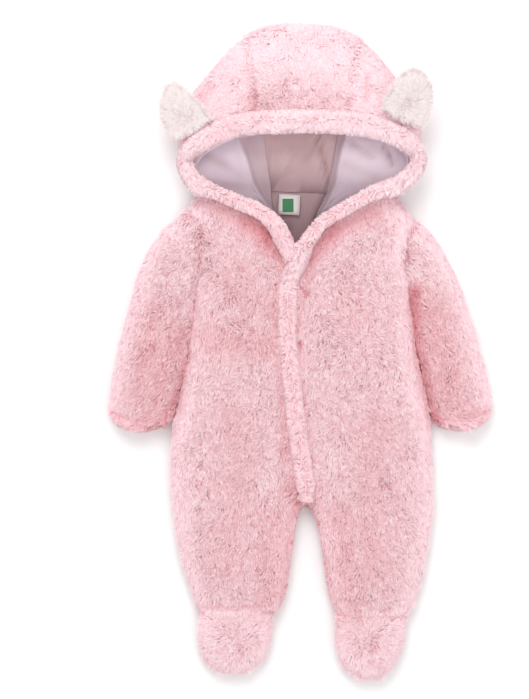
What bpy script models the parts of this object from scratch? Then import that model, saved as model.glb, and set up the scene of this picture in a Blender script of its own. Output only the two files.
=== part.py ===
"""Hooded fleece romper with built-in feet, lying face up on a table.

Every piece that is cut and sewn is one closed wall of padded cloth. Sizes are in millimetres and
are turned into metres when a mesh is made. X runs across the garment, Y from the feet to the hood,
and Z up from the table. Left and right are as seen from above.
"""

from collections import namedtuple

import bpy
import numpy as np

# ---- driving sizes, mm ----
BODY_WALL = 13.0        # fleece pile, wadding and lining together
HOOD_WALL = 11.0
SLEEVE_WALL = 12.0
SLIT = 3.5              # air left between the front and the back of the flat garment
SEAM_GAP = 0.3
SEAM_PINCH = 2.0        # how far a seam draws the pile in
TOP_ROLL = 23.0         # width over which the front rounds down to a free edge
UNDER_ROLL = 13.0       # the same on the underside
BODY_HEIGHT = 31.0
SLEEVE_HEIGHT = 28.5
FOOT_HEIGHT = 34.0
LINING_WALL = 1.2
LINING_FLOOR = 13.5     # underside of the lining that lies on the back
WING_RISE = 14.0        # how far the hood's side linings puff up
WING_STEP = 13.0        # width of the step up to them
RIM_HEIGHT = 9.5        # half height of the band round the hood opening
PLACKET_WIDTH = 19.0
PLACKET_RISE = 8.5
PLACKET_DIP = 4.5       # the fronts sink under the placket
RIM_DIP = 3.5           # and under the band round the hood
FULLNESS = 2.5          # each front puffs up between the placket and the side
EAR_WALL = 4.6
EAR_HALF_BASE = 24.0
EAR_ROWS = (0, 10, 24, 38, 48)          # distances up an ear where it is cut, below its tip
EAR_COLUMNS = (0, 0.14, 0.38, 0.62, 0.86, 1)
EAR_ROLL = 12.0
LABEL_SIZE = (25.0, 24.0)
LABEL_TOP = (-12.8, 184.6)
LABEL_TURN = -3.0       # degrees
LABEL_LIFT = 2.6        # how far the label's free end stands off the lining
LABEL_WALL = 0.9
HOOD_ROLL = 16.0        # radius of the hood's edge on the table, outside and inside
HOOD_INNER_ROLL = 8.0
HOOD_EDGE_POINT = 7     # first point of a hood section that lies above the roll
PANEL_GAP = 0.012       # share of a section left open on each side of a hood seam
LINING_ROLL = 10.0
LINING_BACK = 18.0      # height of the lining where it turns up at the back of the hood
HOOD_CENTRE_Y = 225.0   # the opening's middle and half sizes; the side linings flatten beyond it
HOOD_HALF_SIZE = (150.0, 165.0)
CUFF_STITCH_INSET = 4.0     # a cuff's stitch line stops this far from the folded side edges
NECK_POINT = 118.0      # Y where the neckline meets the placket

SEAM_LEVEL = BODY_WALL + SLIT / 2
MM = 0.001
ROLL_STEPS = (0.0, 0.13, 0.48, 1.0)     # where sections are cut across a rounded edge

# ---- outline of the body, legs and feet ----
Station = namedtuple("Station", "y left right")
SIDES = [Station(*row) for row in (
    (184, -121, 110), (181, -124, 113), (175, -130, 121.5), (170, -134, 127), (160, -128.5, 133.5),
    (145, -120, 129), (132, -117, 125.5), (118, -114.6, 122.8), (105, -114, 122.8),
    (95, -116.5, 123.8), (84, -121.5, 125), (71, -122.8, 126.4), (54, -124.2, 128.4),
    (12, -130, 134), (-20, -134.4, 140), (-51, -141, 147), (-81, -150.5, 153.6),
    (-117, -155.4, 156.8), (-151, -155.2, 158.4), (-186, -152.4, 158.4), (-221, -147.6, 154),
    (-244, -143, 150.8), (-272, -135.4, 145), (-296, -125.6, 136.4), (-312, -121.4, 127))]
INNER_LEGS = [Station(*row) for row in (
    (-182, 6.5, 6.5), (-189, 1.6, 11.4), (-196, -0.6, 14.8), (-208, -2.4, 18), (-221, -4.6, 20.7),
    (-244, -7.6, 23.2), (-268, -10.4, 25.8), (-284, -12.8, 28.8), (-298, -17.4, 32.6),
    (-306, -23, 36.6), (-312, -29.5, 40.7))]
LEFT_FOOT = [Station(*row) for row in (
    (-312, -121.4, -29.5), (-322, -122.6, -31.5), (-336, -123.2, -32.8), (-350, -121.4, -34.6),
    (-362, -117.4, -40), (-371, -110.8, -47.4), (-378, -101.2, -57.6), (-383, -88.6, -68.6))]
RIGHT_FOOT = [Station(*row) for row in (
    (-312, 40.7, 127), (-322, 40, 126.4), (-336, 39.4, 125.2), (-350, 40, 122.8),
    (-362, 42.4, 117.6), (-372, 46.4, 112.4), (-382, 59, 104.2), (-390, 73.6, 90.6))]
Line = namedtuple("Line", "y x")
PLACKET_LINE = [Line(*row) for row in (
    (127, -4), (118, -5.7), (100, -10.6), (84, -14), (54, -15.2), (12, -15), (-30, -11.2),
    (-61, -7.7), (-100, -3), (-139, 3.4), (-168, 7.2), (-182, 6.5))]
LEFT_NECKLINE = [Line(*row) for row in (
    (184, -112), (177, -92), (160, -58), (145, -37.5), (132, -25.5), (122, -13), (118, -5.7))]
RIGHT_NECKLINE = [Line(*row) for row in (
    (184, 104), (177, 84), (167, 64), (148, 37.5), (137, 26), (124, 6), (118, -5.7))]
NECKLINES = [[(line.x, line.y) for line in table] for table in (LEFT_NECKLINE, RIGHT_NECKLINE)]
TOP_EDGE = [Line(*row) for row in (     # shoulders and back neck, left to right; read by x
    (170, -134), (175, -130), (181, -124), (184.5, -119), (187.5, -98), (187.5, -60), (185, 0),
    (182.5, 60), (181.5, 98), (180, 113), (175, 121.5), (168, 129), (160, 133.5))]
ARMHOLE_LEVELS = {"left": (84, 87.5, 95, 106, 119, 132, 145, 157, 166, 170),
                  "right": (71, 74.5, 82, 94, 107, 120, 133, 146, 156, 160)}
LOWER_LEVELS = {"left": (68, 42, 12, -22, -56, -90, -124, -154, -172, -182),
                "right": (58, 38, 12, -22, -56, -90, -124, -154, -172, -182)}
SHOULDER_LEVELS = {"left": (184, 177), "right": (179, 171)}
LEG_LEVELS = (-182, -189, -199, -214, -236, -260, -282, -298, -306, -312)
FOOT_LEVELS = {"left": (-312.6, -320, -334, -348, -360, -370, -378, -382.6),
               "right": (-312.6, -320, -334, -348, -361, -373, -383, -389.5)}

# ---- sleeves: a line across the tube at each station, from the armpit side to the outer side ----
Across = namedtuple("Across", "inner_x inner_y outer_x outer_y bow pinch")
SLEEVES = {
    "left": [Across(*row) for row in (
        (-124.6, 68, -164, 148.5, -4, 0), (-126, 50, -186, 117, 0, 0),
        (-128.2, 30, -198.4, 78, 1, 0), (-131.8, 8, -208.6, 42, 2, 0),
        (-136, -20, -217.4, 8, 3, 0), (-142, -48, -224.6, -26, 6, 0),
        (-146.6, -64, -228, -54, 11, 0), (-149, -71, -228.4, -62, 13, 2),
        (-152, -80, -226.4, -76, 15, 0))],
    "right": [Across(*row) for row in (
        (129.4, 57, 156, 144.5, -3, 0), (131, 44, 177, 109, 0, 0),
        (133.8, 24, 192, 78, 1, 0), (137.6, 0, 204.6, 38, 2, 0),
        (143, -26, 214.6, 4, 3, 0), (148.8, -50, 223, -30, 6, 0),
        (152.4, -66, 227.6, -50, 10, 0), (154, -74, 228.4, -60, 11, 2),
        (156.6, -83, 225.4, -75, 13, 0))]}

# ---- hood: a section from the neck seam, along the table, round the edge and back to the lip ----
Section = namedtuple("Section", "neck_x neck_y edge_x edge_y mid lip_x lip_y height")
HOOD = [Section(*row) for row in (
    (-95, 189, -130, 205, 15, -116, 200, 31),
    (-85, 189, -143.6, 229, 15, -131.4, 220.7, 35.5),
    (-70, 188.6, -147.7, 278, 20, -126.5, 253.5, 47),
    (-50, 188.2, -107, 333, 20, -84.4, 277, 56),
    (-34, 187.6, -60.8, 381, 20, -47.8, 279.4, 60),
    (0, 186.4, 1, 389.4, 20, 0, 281, 61),
    (34, 185, 66.3, 378, 20, 47.8, 279.8, 60),
    (50, 184.2, 113, 325, 20, 93.8, 277, 56),
    (70, 183.4, 144.6, 276, 20, 128, 258.4, 48),
    (85, 183, 144.4, 236, 15, 134, 228.6, 35.5),
    (93, 182.8, 134, 207, 15, 119.4, 201, 31))]
HOOD_PANELS = {"left": (0.0, 4.0, 9), "centre": (4.0, 6.0, 7), "right": (6.0, 10.0, 9)}

Lining = namedtuple("Lining", "foot_x foot_y back_x back_y lip_x lip_y lip_z")
SIDE_LININGS = {
    "left": [Lining(*row) for row in (
        (-13, 144.5, -17.6, 140.6, -17, 141.2, 30),
        (-26.6, 157, -30, 153.6, -29.2, 154.2, 31),
        (-34.2, 172, -52.4, 169.6, -51.4, 170.2, 31.5),
        (-34.4, 189, -86, 186.6, -85, 187.2, 32),
        (-35.7, 200, -110.8, 199.8, -109.2, 200, 34),
        (-37.6, 214, -122.6, 219.4, -121, 219.2, 36),
        (-40.4, 234, -133, 260, -109.4, 233, 36),
        (-44.5, 264, -100.8, 317, -80.2, 247.6, 43),
        (-49.4, 300, -58.4, 363.6, -46.8, 252, 46))],
    "right": [Lining(*row) for row in (
        (8, 145, 14.6, 143.2, 13.8, 143.8, 30),
        (14.6, 155, 28.4, 155.6, 27.4, 156.2, 31),
        (22, 168, 58.4, 175.6, 57.2, 176.2, 31.5),
        (30.8, 186, 91, 194.6, 89.8, 195, 32),
        (32.4, 196, 112.8, 203, 111.2, 203, 34),
        (35, 210, 126.4, 224.6, 124.6, 224.4, 36),
        (38.7, 230, 132.6, 261.6, 113.6, 237.4, 37),
        (44.6, 262, 105.8, 309, 88.8, 247.6, 43),
        (51.6, 300, 63.2, 359.6, 46.8, 252, 46))]}
CENTRE_LINING = [Lining(*row) for row in (
    (-33.2, 188.4, -57, 363.8, -45.6, 252, 46), (-11, 187.6, -20, 371, -15.6, 253.4, 47),
    (11, 186.8, 20, 371, 15.6, 253.4, 47), (29.2, 186, 61.4, 360, 45.4, 252, 46))]
WING_FOLD = [Station(*row) for row in (     # where the side linings step up from the floor
    (140, -14, 9), (155, -25, 17.7), (170, -36, 27), (184, -45.5, 34), (199, -54, 40),
    (216, -58.5, 43), (237, -66, 47), (252, -71, 51), (300, -85, 65))]
BACK_LINING = [Station(*row) for row in (
    (185, -33.2, 27.8), (172, -32.6, 22), (158, -22.4, 15), (146, -11.4, 7.2), (134, -11.6, 7.4),
    (120, -11, 4))]

# ---- rolled bands ----
Roll = namedtuple("Roll", "x y z half_width")
RIM = [Roll(*row) for row in (
    (-16, 124.5, 40.5, 7.6), (-24.2, 135.7, 41, 9.5), (-38.4, 150.4, 41.6, 10), (-58.4, 161, 42, 10),
    (-90.3, 174.6, 42.4, 9.6), (-121.4, 192.6, 43, 9.2), (-138.6, 218.5, 45, 9),
    (-135.5, 230.5, 51, 9.2), (-119.8, 243, 56, 10.4), (-83.2, 262, 60, 12.2),
    (-48.4, 266.4, 62, 12.4), (0, 268.2, 63, 12.4), (48.4, 266.8, 62, 12.4), (91.5, 260.6, 60, 12.2),
    (122, 246.6, 56, 10.4), (136.6, 235.5, 51, 9.2), (141, 223, 45, 9), (128, 203, 43, 9.2),
    (98.6, 182.8, 42.4, 9.6), (66.6, 164.4, 42, 10), (38.6, 147, 41.6, 10), (25, 135.4, 41, 9.8),
    (8, 122.6, 40.5, 7.8))]

# ---- ears: outline above the base line, in the ear's own plane ----
Ear = namedtuple("Ear", "up left right")
EAR_OUTLINES = {
    "left": [Ear(*row) for row in (
        (0, -22, 23.5), (8, -23.4, 22.8), (20, -23.2, 20.6), (32, -21.6, 17.6), (42, -16.6, 15.6),
        (50, -8.6, 13), (55.4, -0.6, 8.4))],
    "right": [Ear(*row) for row in (
        (0, -22, 23.5), (8, -24.6, 25), (20, -25.2, 23.6), (32, -24.6, 21.4), (42, -22.6, 17.6),
        (50, -18, 10), (55, -12.6, 1))]}
Placing = namedtuple("Placing", "base_x base_y along_x along_y base_z tip_z inner_lift")
EARS = {"left": Placing(-127.8, 259.6, 0.866, 0.5, 52.3, 49.3, 5),
        "right": Placing(118.6, 272.6, 0.9, -0.436, 56.6, 52.6, 5)}

# ---- the largest folds: soft troughs from one end to the other ----
Fold = namedtuple("Fold", "x1 y1 x2 y2 depth half_width")
FOLDS = [Fold(*row) for row in (
    (-132, 60, -168, 72, 3.0, 9), (138, 46, 170, 62, 3.0, 9), (-150, -8, -206, 8, 1.8, 8),
    (150, -14, 204, -2, 1.8, 8), (-112, 96, -84, 62, 2.4, 10), (118, 88, 92, 52, 2.4, 10),
    (-110, -300, -50, -302, 2.4, 7), (56, -300, 118, -302, 2.4, 7), (-20, -52, -64, -58, 1.8, 9),
    (24, -196, 62, -222, 2.4, 11), (-8, -200, -44, -226, 2.4, 11), (-96, -130, -40, -142, 1.6, 12),
    (60, -120, 120, -134, 1.6, 12))]

PINK = (0.84, 0.50, 0.54)
PALE_PINK = (0.88, 0.60, 0.64)
WHITE_PLUSH = (0.86, 0.83, 0.82)
LILAC = (0.68, 0.60, 0.68)
LABEL_WHITE = (0.86, 0.86, 0.84)


def read(table, key, column, value):
    """A smooth curve through one column of a table, read at a value (or values) of its key."""
    rows = sorted((getattr(row, key), getattr(row, column)) for row in table)
    keys = np.array([row[0] for row in rows], float)
    points = np.array([row[1] for row in rows], float)
    slopes = np.gradient(points, keys)
    value = np.clip(value, keys[0], keys[-1])
    i = np.clip(np.searchsorted(keys, value) - 1, 0, len(keys) - 2)
    span = keys[i + 1] - keys[i]
    t = (value - keys[i]) / span
    return (points[i] * (1 + 2 * t) * (1 - t) ** 2 + points[i + 1] * t * t * (3 - 2 * t)
            + slopes[i] * span * t * (1 - t) ** 2 - slopes[i + 1] * span * t * t * (1 - t))


def blend_rows(table, position):
    """A row between two rows of a table: position 2.5 is half-way from row 2 to row 3."""
    rows = np.array(table, float)
    i = int(np.clip(np.floor(position), 0, len(rows) - 2))
    t = position - i
    before = rows[max(i - 1, 0)]
    after = rows[min(i + 2, len(rows) - 1)]
    slope_a = (rows[i + 1] - before) / 2
    slope_b = (after - rows[i]) / 2
    values = (rows[i] * (1 + 2 * t) * (1 - t) ** 2 + rows[i + 1] * t * t * (3 - 2 * t)
              + slope_a * t * (1 - t) ** 2 - slope_b * t * t * (1 - t))
    return type(table[0])(*values)


def rounding(reach):
    """A quarter circle: 0 at an edge, 1 at one radius in from it."""
    inside = np.clip(reach, 0, 1)
    return np.sqrt(1 - (1 - inside) ** 2)


def step(value):
    """A smooth step from 0 to 1."""
    t = np.clip(value, 0, 1)
    return t * t * (3 - 2 * t)


def to_segment(x, y, start, end):
    """Distance from a point to a straight line between two others."""
    along = np.array(end, float) - np.array(start, float)
    t = np.clip(((x - start[0]) * along[0] + (y - start[1]) * along[1]) / max(along @ along, 1e-9), 0, 1)
    return np.hypot(x - start[0] - t * along[0], y - start[1] - t * along[1])


def to_edges(x, y, edges):
    """Distance from a point to the nearest of several broken lines."""
    return min(to_segment(x, y, a, b) for edge in edges for a, b in zip(edge, edge[1:]))


def fold_depth(x, y):
    """How far the folds lower the cloth at a point."""
    depth = 0.0
    for fold in FOLDS:
        away = to_segment(x, y, (fold.x1, fold.y1), (fold.x2, fold.y2)) / fold.half_width
        depth += fold.depth * np.exp(-away * away)
    return depth


def body_height(x, y):
    """Height of the front over the table before it rounds down to an edge."""
    centre = float(read(PLACKET_LINE, "y", "x", y))
    under_placket = PLACKET_DIP * (1 - step((abs(x - centre) - 4) / 14)) * step((y + 190) / 12)
    under_rim = RIM_DIP * (1 - step(to_edges(x, y, NECKLINES) / 20))
    fullness = FULLNESS * np.sin(np.pi * np.clip((abs(x - centre) - 5) / 140, 0, 1))
    return BODY_HEIGHT + fullness - under_placket - under_rim - fold_depth(x, y)


def foot_height(x, y):
    """Height of a foot's upper, which climbs from the ankle seam to the instep."""
    return BODY_HEIGHT + (FOOT_HEIGHT - BODY_HEIGHT) * step((-313 - y) / 24) - fold_depth(x, y)


def mesh_object(name, patches, colour, roughness=0.9):
    """One closed wall from patches of (outer grid, inner grid, wraps round).

    Points that patches share are welded, and every open border is closed from outside to inside."""
    index = {}
    points = []
    faces = []

    def corner(outer, inner):
        key = tuple(np.round(np.concatenate([outer, inner]), 3))
        if key not in index:
            index[key] = len(points)
            points.append((outer, inner))
        return index[key]

    for outer, inner, wraps in patches:
        rows, columns = outer.shape[:2]
        grid = [[corner(outer[r, c], inner[r, c]) for c in range(columns)] for r in range(rows)]
        for r in range(rows - 1):
            for c in range(columns if wraps else columns - 1):
                nxt = (c + 1) % columns
                faces.append((grid[r][c], grid[r][nxt], grid[r + 1][nxt], grid[r + 1][c]))
    count = len(points)
    borders = {}
    for face in faces:
        for a, b in zip(face, face[1:] + face[:1]):
            if (b, a) in borders:
                del borders[(b, a)]
            else:
                borders[(a, b)] = True
    solid = [tuple(face) for face in faces]
    solid += [tuple(i + count for i in reversed(face)) for face in faces]
    solid += [(b, a, a + count, b + count) for a, b in borders]
    vertices = [tuple(p[0] * MM) for p in points] + [tuple(p[1] * MM) for p in points]
    return finish(name, vertices, solid, colour, roughness)


def finish(name, vertices, faces, colour, roughness=0.9):
    """Make the object, face it outwards and give it its material."""
    mesh = bpy.data.meshes.new(name)
    mesh.from_pydata(vertices, [], faces)
    if signed_volume(mesh) < 0:
        mesh.flip_normals()
    mesh.shade_smooth()
    mesh.set_sharp_from_angle(angle=np.radians(50))
    material = bpy.data.materials.new(name)
    material.use_nodes = True
    shader = material.node_tree.nodes["Principled BSDF"]
    shader.inputs["Base Color"].default_value = (*colour, 1)
    shader.inputs["Roughness"].default_value = roughness
    shader.inputs["Metallic"].default_value = 0
    mesh.materials.append(material)
    part = bpy.data.objects.new(name, mesh)
    bpy.context.collection.objects.link(part)
    return part


def signed_volume(mesh):
    """Volume inside a closed mesh, negative where its faces point in."""
    total = 0.0
    for face in mesh.polygons:
        corners = [mesh.vertices[i].co for i in face.vertices]
        for a, b in zip(corners[1:], corners[2:]):
            total += corners[0].dot(a.cross(b))
    return total / 6


def free_edges():
    """The lines of the body where the cloth rounds down: shoulders, flanks and inner legs."""
    edges = []
    for side, armhole in ARMHOLE_LEVELS.items():
        for table, levels in (
                (SIDES, [*SHOULDER_LEVELS[side], armhole[-1]]),
                (SIDES, [armhole[0], *LOWER_LEVELS[side], *LEG_LEVELS[1:]]),
                (INNER_LEGS, LEG_LEVELS[1:])):
            edges.append([(float(read(table, "y", side, y)), y) for y in levels])
    return edges


def body_levels(side):
    """The Y of each row of one half of the body, from the top of the armhole to the ankle."""
    return [*reversed(ARMHOLE_LEVELS[side]), *LOWER_LEVELS[side], *LEG_LEVELS[1:]]


def inner_end(side, y, middle_y, neckline):
    """Where a row ends towards the middle: on the neckline, the placket line or the inner leg."""
    if y < LEG_LEVELS[0]:
        return float(read(INNER_LEGS, "y", side, y)), y
    if neckline and y > NECK_POINT:
        table = LEFT_NECKLINE if side == "left" else RIGHT_NECKLINE
        return float(read(table, "y", "x", y)), y
    return float(read(PLACKET_LINE, "y", "x", middle_y)), middle_y


def wall_row(outer_x, inner_x, edges, front, height, inner_free, level):
    """One row of points across a piece, outer and inner surface, from its outer limit inwards.

    level gives the row's Y at an X, and inner_free says that its inner end rounds down too."""
    width = abs(inner_x - outer_x)
    toward = 1 if inner_x > outer_x else -1
    roll = min(TOP_ROLL, 0.4 * width)
    reaches = [share * roll for share in ROLL_STEPS]
    reaches += [width / 2] + [width - reach for reach in reversed(reaches)]
    wall = min(BODY_WALL, 0.8 * roll)
    lean_outer = wall * (1 - rounding(to_edges(outer_x, level(outer_x), edges) / TOP_ROLL))
    lean_inner = wall * (1 - rounding(to_edges(inner_x, level(inner_x), edges) / TOP_ROLL)) * inner_free
    seam = SEAM_LEVEL + (SEAM_GAP / 2 if front else -SEAM_GAP / 2)
    outer, inner = [], []
    for reach in reaches:
        x = outer_x + toward * reach
        away = to_edges(x, level(x), edges)
        shift = lean_outer * max(1 - reach / roll, 0) - lean_inner * max(1 - (width - reach) / roll, 0)
        inside_x = x + toward * shift
        half_slit = (SLIT - SEAM_GAP) / 2 * rounding(away / TOP_ROLL)
        if front:
            outer_z = seam + (height(x, level(x)) - seam) * rounding(away / TOP_ROLL)
            inner_z = seam + half_slit
        else:
            outer_z = seam * (1 - rounding(away / UNDER_ROLL))
            inner_z = seam - half_slit
        outer.append((x, level(x), outer_z))
        inner.append((inside_x, level(inside_x), inner_z))
    return outer, inner


def pinch(outer, inner, amount=SEAM_PINCH):
    """Draw the outer points of a row or column in towards the inner ones."""
    away = inner - outer
    length = np.maximum(np.linalg.norm(away, axis=-1, keepdims=True), 1e-6)
    return outer + away / length * np.minimum(amount, 0.3 * length)


def body_half(side, front):
    """The grid of one half of the front or the back, from the shoulder to the ankle."""
    edges = free_edges()
    levels = body_levels(side)
    middles = [(a + b) / 2 for a, b in zip(body_levels("left"), body_levels("right"))]
    if front:
        levels = [*SHOULDER_LEVELS[side], *levels]
        middles = [*SHOULDER_LEVELS[side], *middles]
    rows = []
    for y, middle_y in zip(levels, middles):
        outer_x = float(read(SIDES, "y", side, y))
        inner_x, inner_y = inner_end(side, y, middle_y, front)
        if front and y > LEG_LEVELS[1]:
            inner_x -= SEAM_GAP / 2 * (1 if side == "left" else -1)
        slant = (inner_y - y) / (inner_x - outer_x)

        def level(x, y=y, outer_x=outer_x, slant=slant):
            return y + (x - outer_x) * slant

        rows.append(wall_row(outer_x, inner_x, edges, front, body_height, y < LEG_LEVELS[0], level))
    if not front:
        rows[0] = back_top_row(side, edges)
    outer = np.array([row[0] for row in rows])
    inner = np.array([row[1] for row in rows])
    if front:
        outer[-1] = pinch(outer[-1], inner[-1])
        shoulder = len(SHOULDER_LEVELS[side])
        armhole = slice(shoulder + 1, shoulder + len(ARMHOLE_LEVELS[side]) - 1)
        outer[armhole, 0] = pinch(outer[armhole, 0], inner[armhole, 0])
    if side == "right":
        outer, inner = outer[:, ::-1], inner[:, ::-1]
    return outer, inner


def back_top_row(side, edges):
    """The top of the back: the shoulder and the back neck."""
    top = ARMHOLE_LEVELS[side][-1]
    outer_x = float(read(SIDES, "y", side, top))
    inner_x = float(read(PLACKET_LINE, "y", "x", top))
    return wall_row(outer_x, inner_x, edges, False, body_height, False,
                    lambda x: float(read(TOP_EDGE, "x", "y", x)))


def make_fronts():
    """The two fronts, each cut with its leg."""
    for side in ("left", "right"):
        outer, inner = body_half(side, True)
        mesh_object(f"front_{side}", [(outer, inner, False)], PINK)


def make_back():
    """The back, cut in one with both legs."""
    patches = [(*body_half(side, False), False) for side in ("left", "right")]
    mesh_object("back_panel", patches, PINK)


def foot_walls(table, levels, front):
    """Outer and inner grid of a foot's upper or sole; the inside is the outline drawn in."""
    ends = [(float(read(table, "y", "left", y)), float(read(table, "y", "right", y))) for y in levels]
    edges = [[(left, y) for (left, _), y in zip(ends, levels)]
             + [(right, y) for (_, right), y in reversed(list(zip(ends, levels)))]]
    ankle, length = levels[0], levels[0] - levels[-1]
    outer, inner = [], []
    for (left, right), y in zip(ends, levels):
        row, behind = wall_row(left, right, edges, front, foot_height, True, lambda x, y=y: y)
        middle, half = (left + right) / 2, (right - left) / 2
        shrink = max(1 - BODY_WALL / half, 0.3)
        inside_y = ankle + (y - ankle) * (1 - BODY_WALL / length)
        outer.append(row)
        inner.append([(middle + (point[0] - middle) * shrink, inside_y, inside[2])
                      for point, inside in zip(row, behind)])
    return np.array(outer), np.array(inner)


def make_feet():
    """An upper and a sole for each foot, seamed to the leg at the ankle."""
    for side, table in (("left", LEFT_FOOT), ("right", RIGHT_FOOT)):
        for name, front in (("upper", True), ("sole", False)):
            outer, inner = foot_walls(table, FOOT_LEVELS[side], front)
            if front:
                outer[0] = pinch(outer[0], inner[0])
            mesh_object(f"foot_{name}_{side}", [(outer, inner, False)], PINK)


def sleeve_ring(across, shares, height):
    """One ring round a sleeve: outer and inner points, over the top and back underneath."""
    start = np.array((across.inner_x, across.inner_y), float)
    end = np.array((across.outer_x, across.outer_y), float)
    width = np.linalg.norm(end - start)
    along = (end - start) / width
    down = np.array((along[1], -along[0]))
    if down[1] > 0:
        down = -down

    def plan(share):
        return start + (end - start) * share + down * across.bow * 4 * share * (1 - share)

    outer, inner = [], []
    wall = SLEEVE_WALL / width
    order = [(share, True) for share in shares] + [(share, False) for share in reversed(shares[1:-1])]
    for share, top in order:
        edge = min(share, 1 - share) * width
        x, y = plan(share)
        lean = wall * np.clip(1 - edge / TOP_ROLL, 0, 1) * (1 if share < 0.5 else -1)
        inside = np.clip(share + lean, wall, 1 - wall)
        rise = (height - fold_depth(x, y) - SEAM_LEVEL) * rounding(edge / TOP_ROLL)
        rise -= across.pinch * (edge > CUFF_STITCH_INSET)
        drop = SEAM_LEVEL * rounding(edge / UNDER_ROLL)
        half_slit = sleeve_half_slit(min(inside, 1 - inside) * width)
        outer.append((x, y, SEAM_LEVEL + rise if top else SEAM_LEVEL - drop))
        inner.append((*plan(inside), SEAM_LEVEL + half_slit if top else SEAM_LEVEL - half_slit))
    return outer, inner


def sleeve_half_slit(edge):
    """Half the air inside a sleeve at a distance from its folded edge: none at the wall's inside."""
    return SLIT / 2 * rounding((edge - SLEEVE_WALL) / 6 + 0.02)


def armhole_ring(side):
    """The sleeve's first ring, which follows the armhole of the body."""
    levels = ARMHOLE_LEVELS[side]
    outward = -1 if side == "left" else 1
    points = [np.array((float(read(SIDES, "y", side, y)) + outward * SEAM_GAP * 1.5, y)) for y in levels]
    lengths = np.concatenate([[0], np.cumsum([np.linalg.norm(b - a) for a, b in zip(points, points[1:])])])
    total = lengths[-1]
    xs = np.array([p[0] for p in points])
    ys = np.array([p[1] for p in points])
    order = [(i, True) for i in range(len(levels))] + [(i, False) for i in range(len(levels) - 2, 0, -1)]
    outer, inner = [], []
    for i, top in order:
        edge = min(lengths[i], total - lengths[i])
        lean = SLEEVE_WALL * np.clip(1 - edge / TOP_ROLL, 0, 1) * (1 if lengths[i] < total / 2 else -1)
        inside = np.clip(lengths[i] + lean, SLEEVE_WALL, total - SLEEVE_WALL)
        height = body_height(*points[i])
        rise = (height - SEAM_LEVEL) * rounding(edge / TOP_ROLL)
        drop = SEAM_LEVEL * rounding(edge / UNDER_ROLL)
        half_slit = sleeve_half_slit(min(inside, total - inside))
        outer.append((*points[i], SEAM_LEVEL + rise if top else SEAM_LEVEL - drop))
        inner.append((np.interp(inside, lengths, xs), np.interp(inside, lengths, ys),
                      SEAM_LEVEL + half_slit if top else SEAM_LEVEL - half_slit))
    return outer, inner, list(lengths / total)


def make_sleeves():
    """A tube for each sleeve, open at the armhole and at the cuff."""
    for side, table in SLEEVES.items():
        first_outer, first_inner, shares = armhole_ring(side)
        rings = [(first_outer, first_inner)]
        for i, across in enumerate(table):
            height = BODY_HEIGHT + (SLEEVE_HEIGHT - BODY_HEIGHT) * (i + 1) / len(table)
            rings.append(sleeve_ring(across, shares, height))
        outer = np.array([ring[0] for ring in rings])
        inner = np.array([ring[1] for ring in rings])
        mesh_object(f"sleeve_{side}", [(outer, inner, True)], PINK)


def arc(start, end, start_z, end_z, count, rise_first):
    """Points on a quarter ellipse between two plan points at two heights, without the first."""
    points = []
    for k in range(1, count + 1):
        angle = np.pi / 2 * k / count
        if rise_first:
            across, up = 1 - np.cos(angle), np.sin(angle)
        else:
            across, up = np.sin(angle), 1 - np.cos(angle)
        plan = np.array(start) + (np.array(end) - np.array(start)) * across
        points.append((*plan, start_z + (end_z - start_z) * up))
    return points


def hood_section(section, inset):
    """One section through the hood's outer surface, or through its inner one where inset is given."""
    neck = np.array((section.neck_x, section.neck_y))
    edge = np.array((section.edge_x, section.edge_y))
    length = np.linalg.norm(edge - neck)
    out = (edge - neck) / length
    edge = edge - out * inset
    turn = edge - out * (HOOD_INNER_ROLL if inset else HOOD_ROLL)
    lip = np.array((section.lip_x, section.lip_y))
    points = [(*(neck + (turn - neck) * k / 5), inset) for k in range(6)]
    points += arc(turn, edge, inset, section.mid, 3, False)
    points += arc(edge, lip, section.mid, section.height - inset, 7, True)
    return points


def make_hood():
    """Two sides and a centre strip, from the neck seam round the crown to the lip."""
    for name, (start, end, count) in HOOD_PANELS.items():
        first = start + (PANEL_GAP if start > 0 else 0)
        last = end - (PANEL_GAP if end < len(HOOD) - 1 else 0)
        sections = [blend_rows(HOOD, first + (last - first) * k / (count - 1)) for k in range(count)]
        outer = np.array([hood_section(section, 0) for section in sections])
        inner = np.array([hood_section(section, HOOD_WALL) for section in sections])
        top = slice(HOOD_EDGE_POINT, None)
        if start > 0:
            outer[0, top] = pinch(outer[0, top], inner[0, top])
        if end < len(HOOD) - 1:
            outer[-1, top] = pinch(outer[-1, top], inner[-1, top])
        mesh_object(f"hood_{name}", [(outer, inner, False)], PINK)


def wing_rise(x, y):
    """How far a side lining puffs up over the floor at a point."""
    fold = float(read(WING_FOLD, "y", "left" if x < 0 else "right", y))
    out = step((abs(x) - abs(fold) + WING_STEP * 0.35) / WING_STEP)
    from_middle = np.hypot(x / HOOD_HALF_SIZE[0], (y - HOOD_CENTRE_Y) / HOOD_HALF_SIZE[1])
    near_edge = step((from_middle - 0.72) / 0.26)
    return WING_RISE * out * (1 - near_edge) * (1 - step((y - 246) / 45))


def lining_section(row, puffed, lift):
    """One section through a lining, from the floor round the back to the lip."""
    foot = np.array((row.foot_x, row.foot_y))
    back = np.array((row.back_x, row.back_y))
    lip = np.array((row.lip_x, row.lip_y))
    length = np.linalg.norm(back - foot)
    roll = min(LINING_ROLL, 0.5 * length)
    turn = back + (foot - back) / length * roll
    points = []
    for k in range(8):
        x, y = foot + (turn - foot) * k / 7
        points.append((x, y, LINING_FLOOR + lift + (wing_rise(x, y) if puffed else 0)))
    turn_z = points[-1][2]
    middle = max(LINING_BACK, turn_z + 2) + lift * 0.5
    points += arc(turn, back, turn_z, middle, 2, False)
    points += arc(back, lip, middle, row.lip_z + lift, 4, True)
    return points


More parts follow.
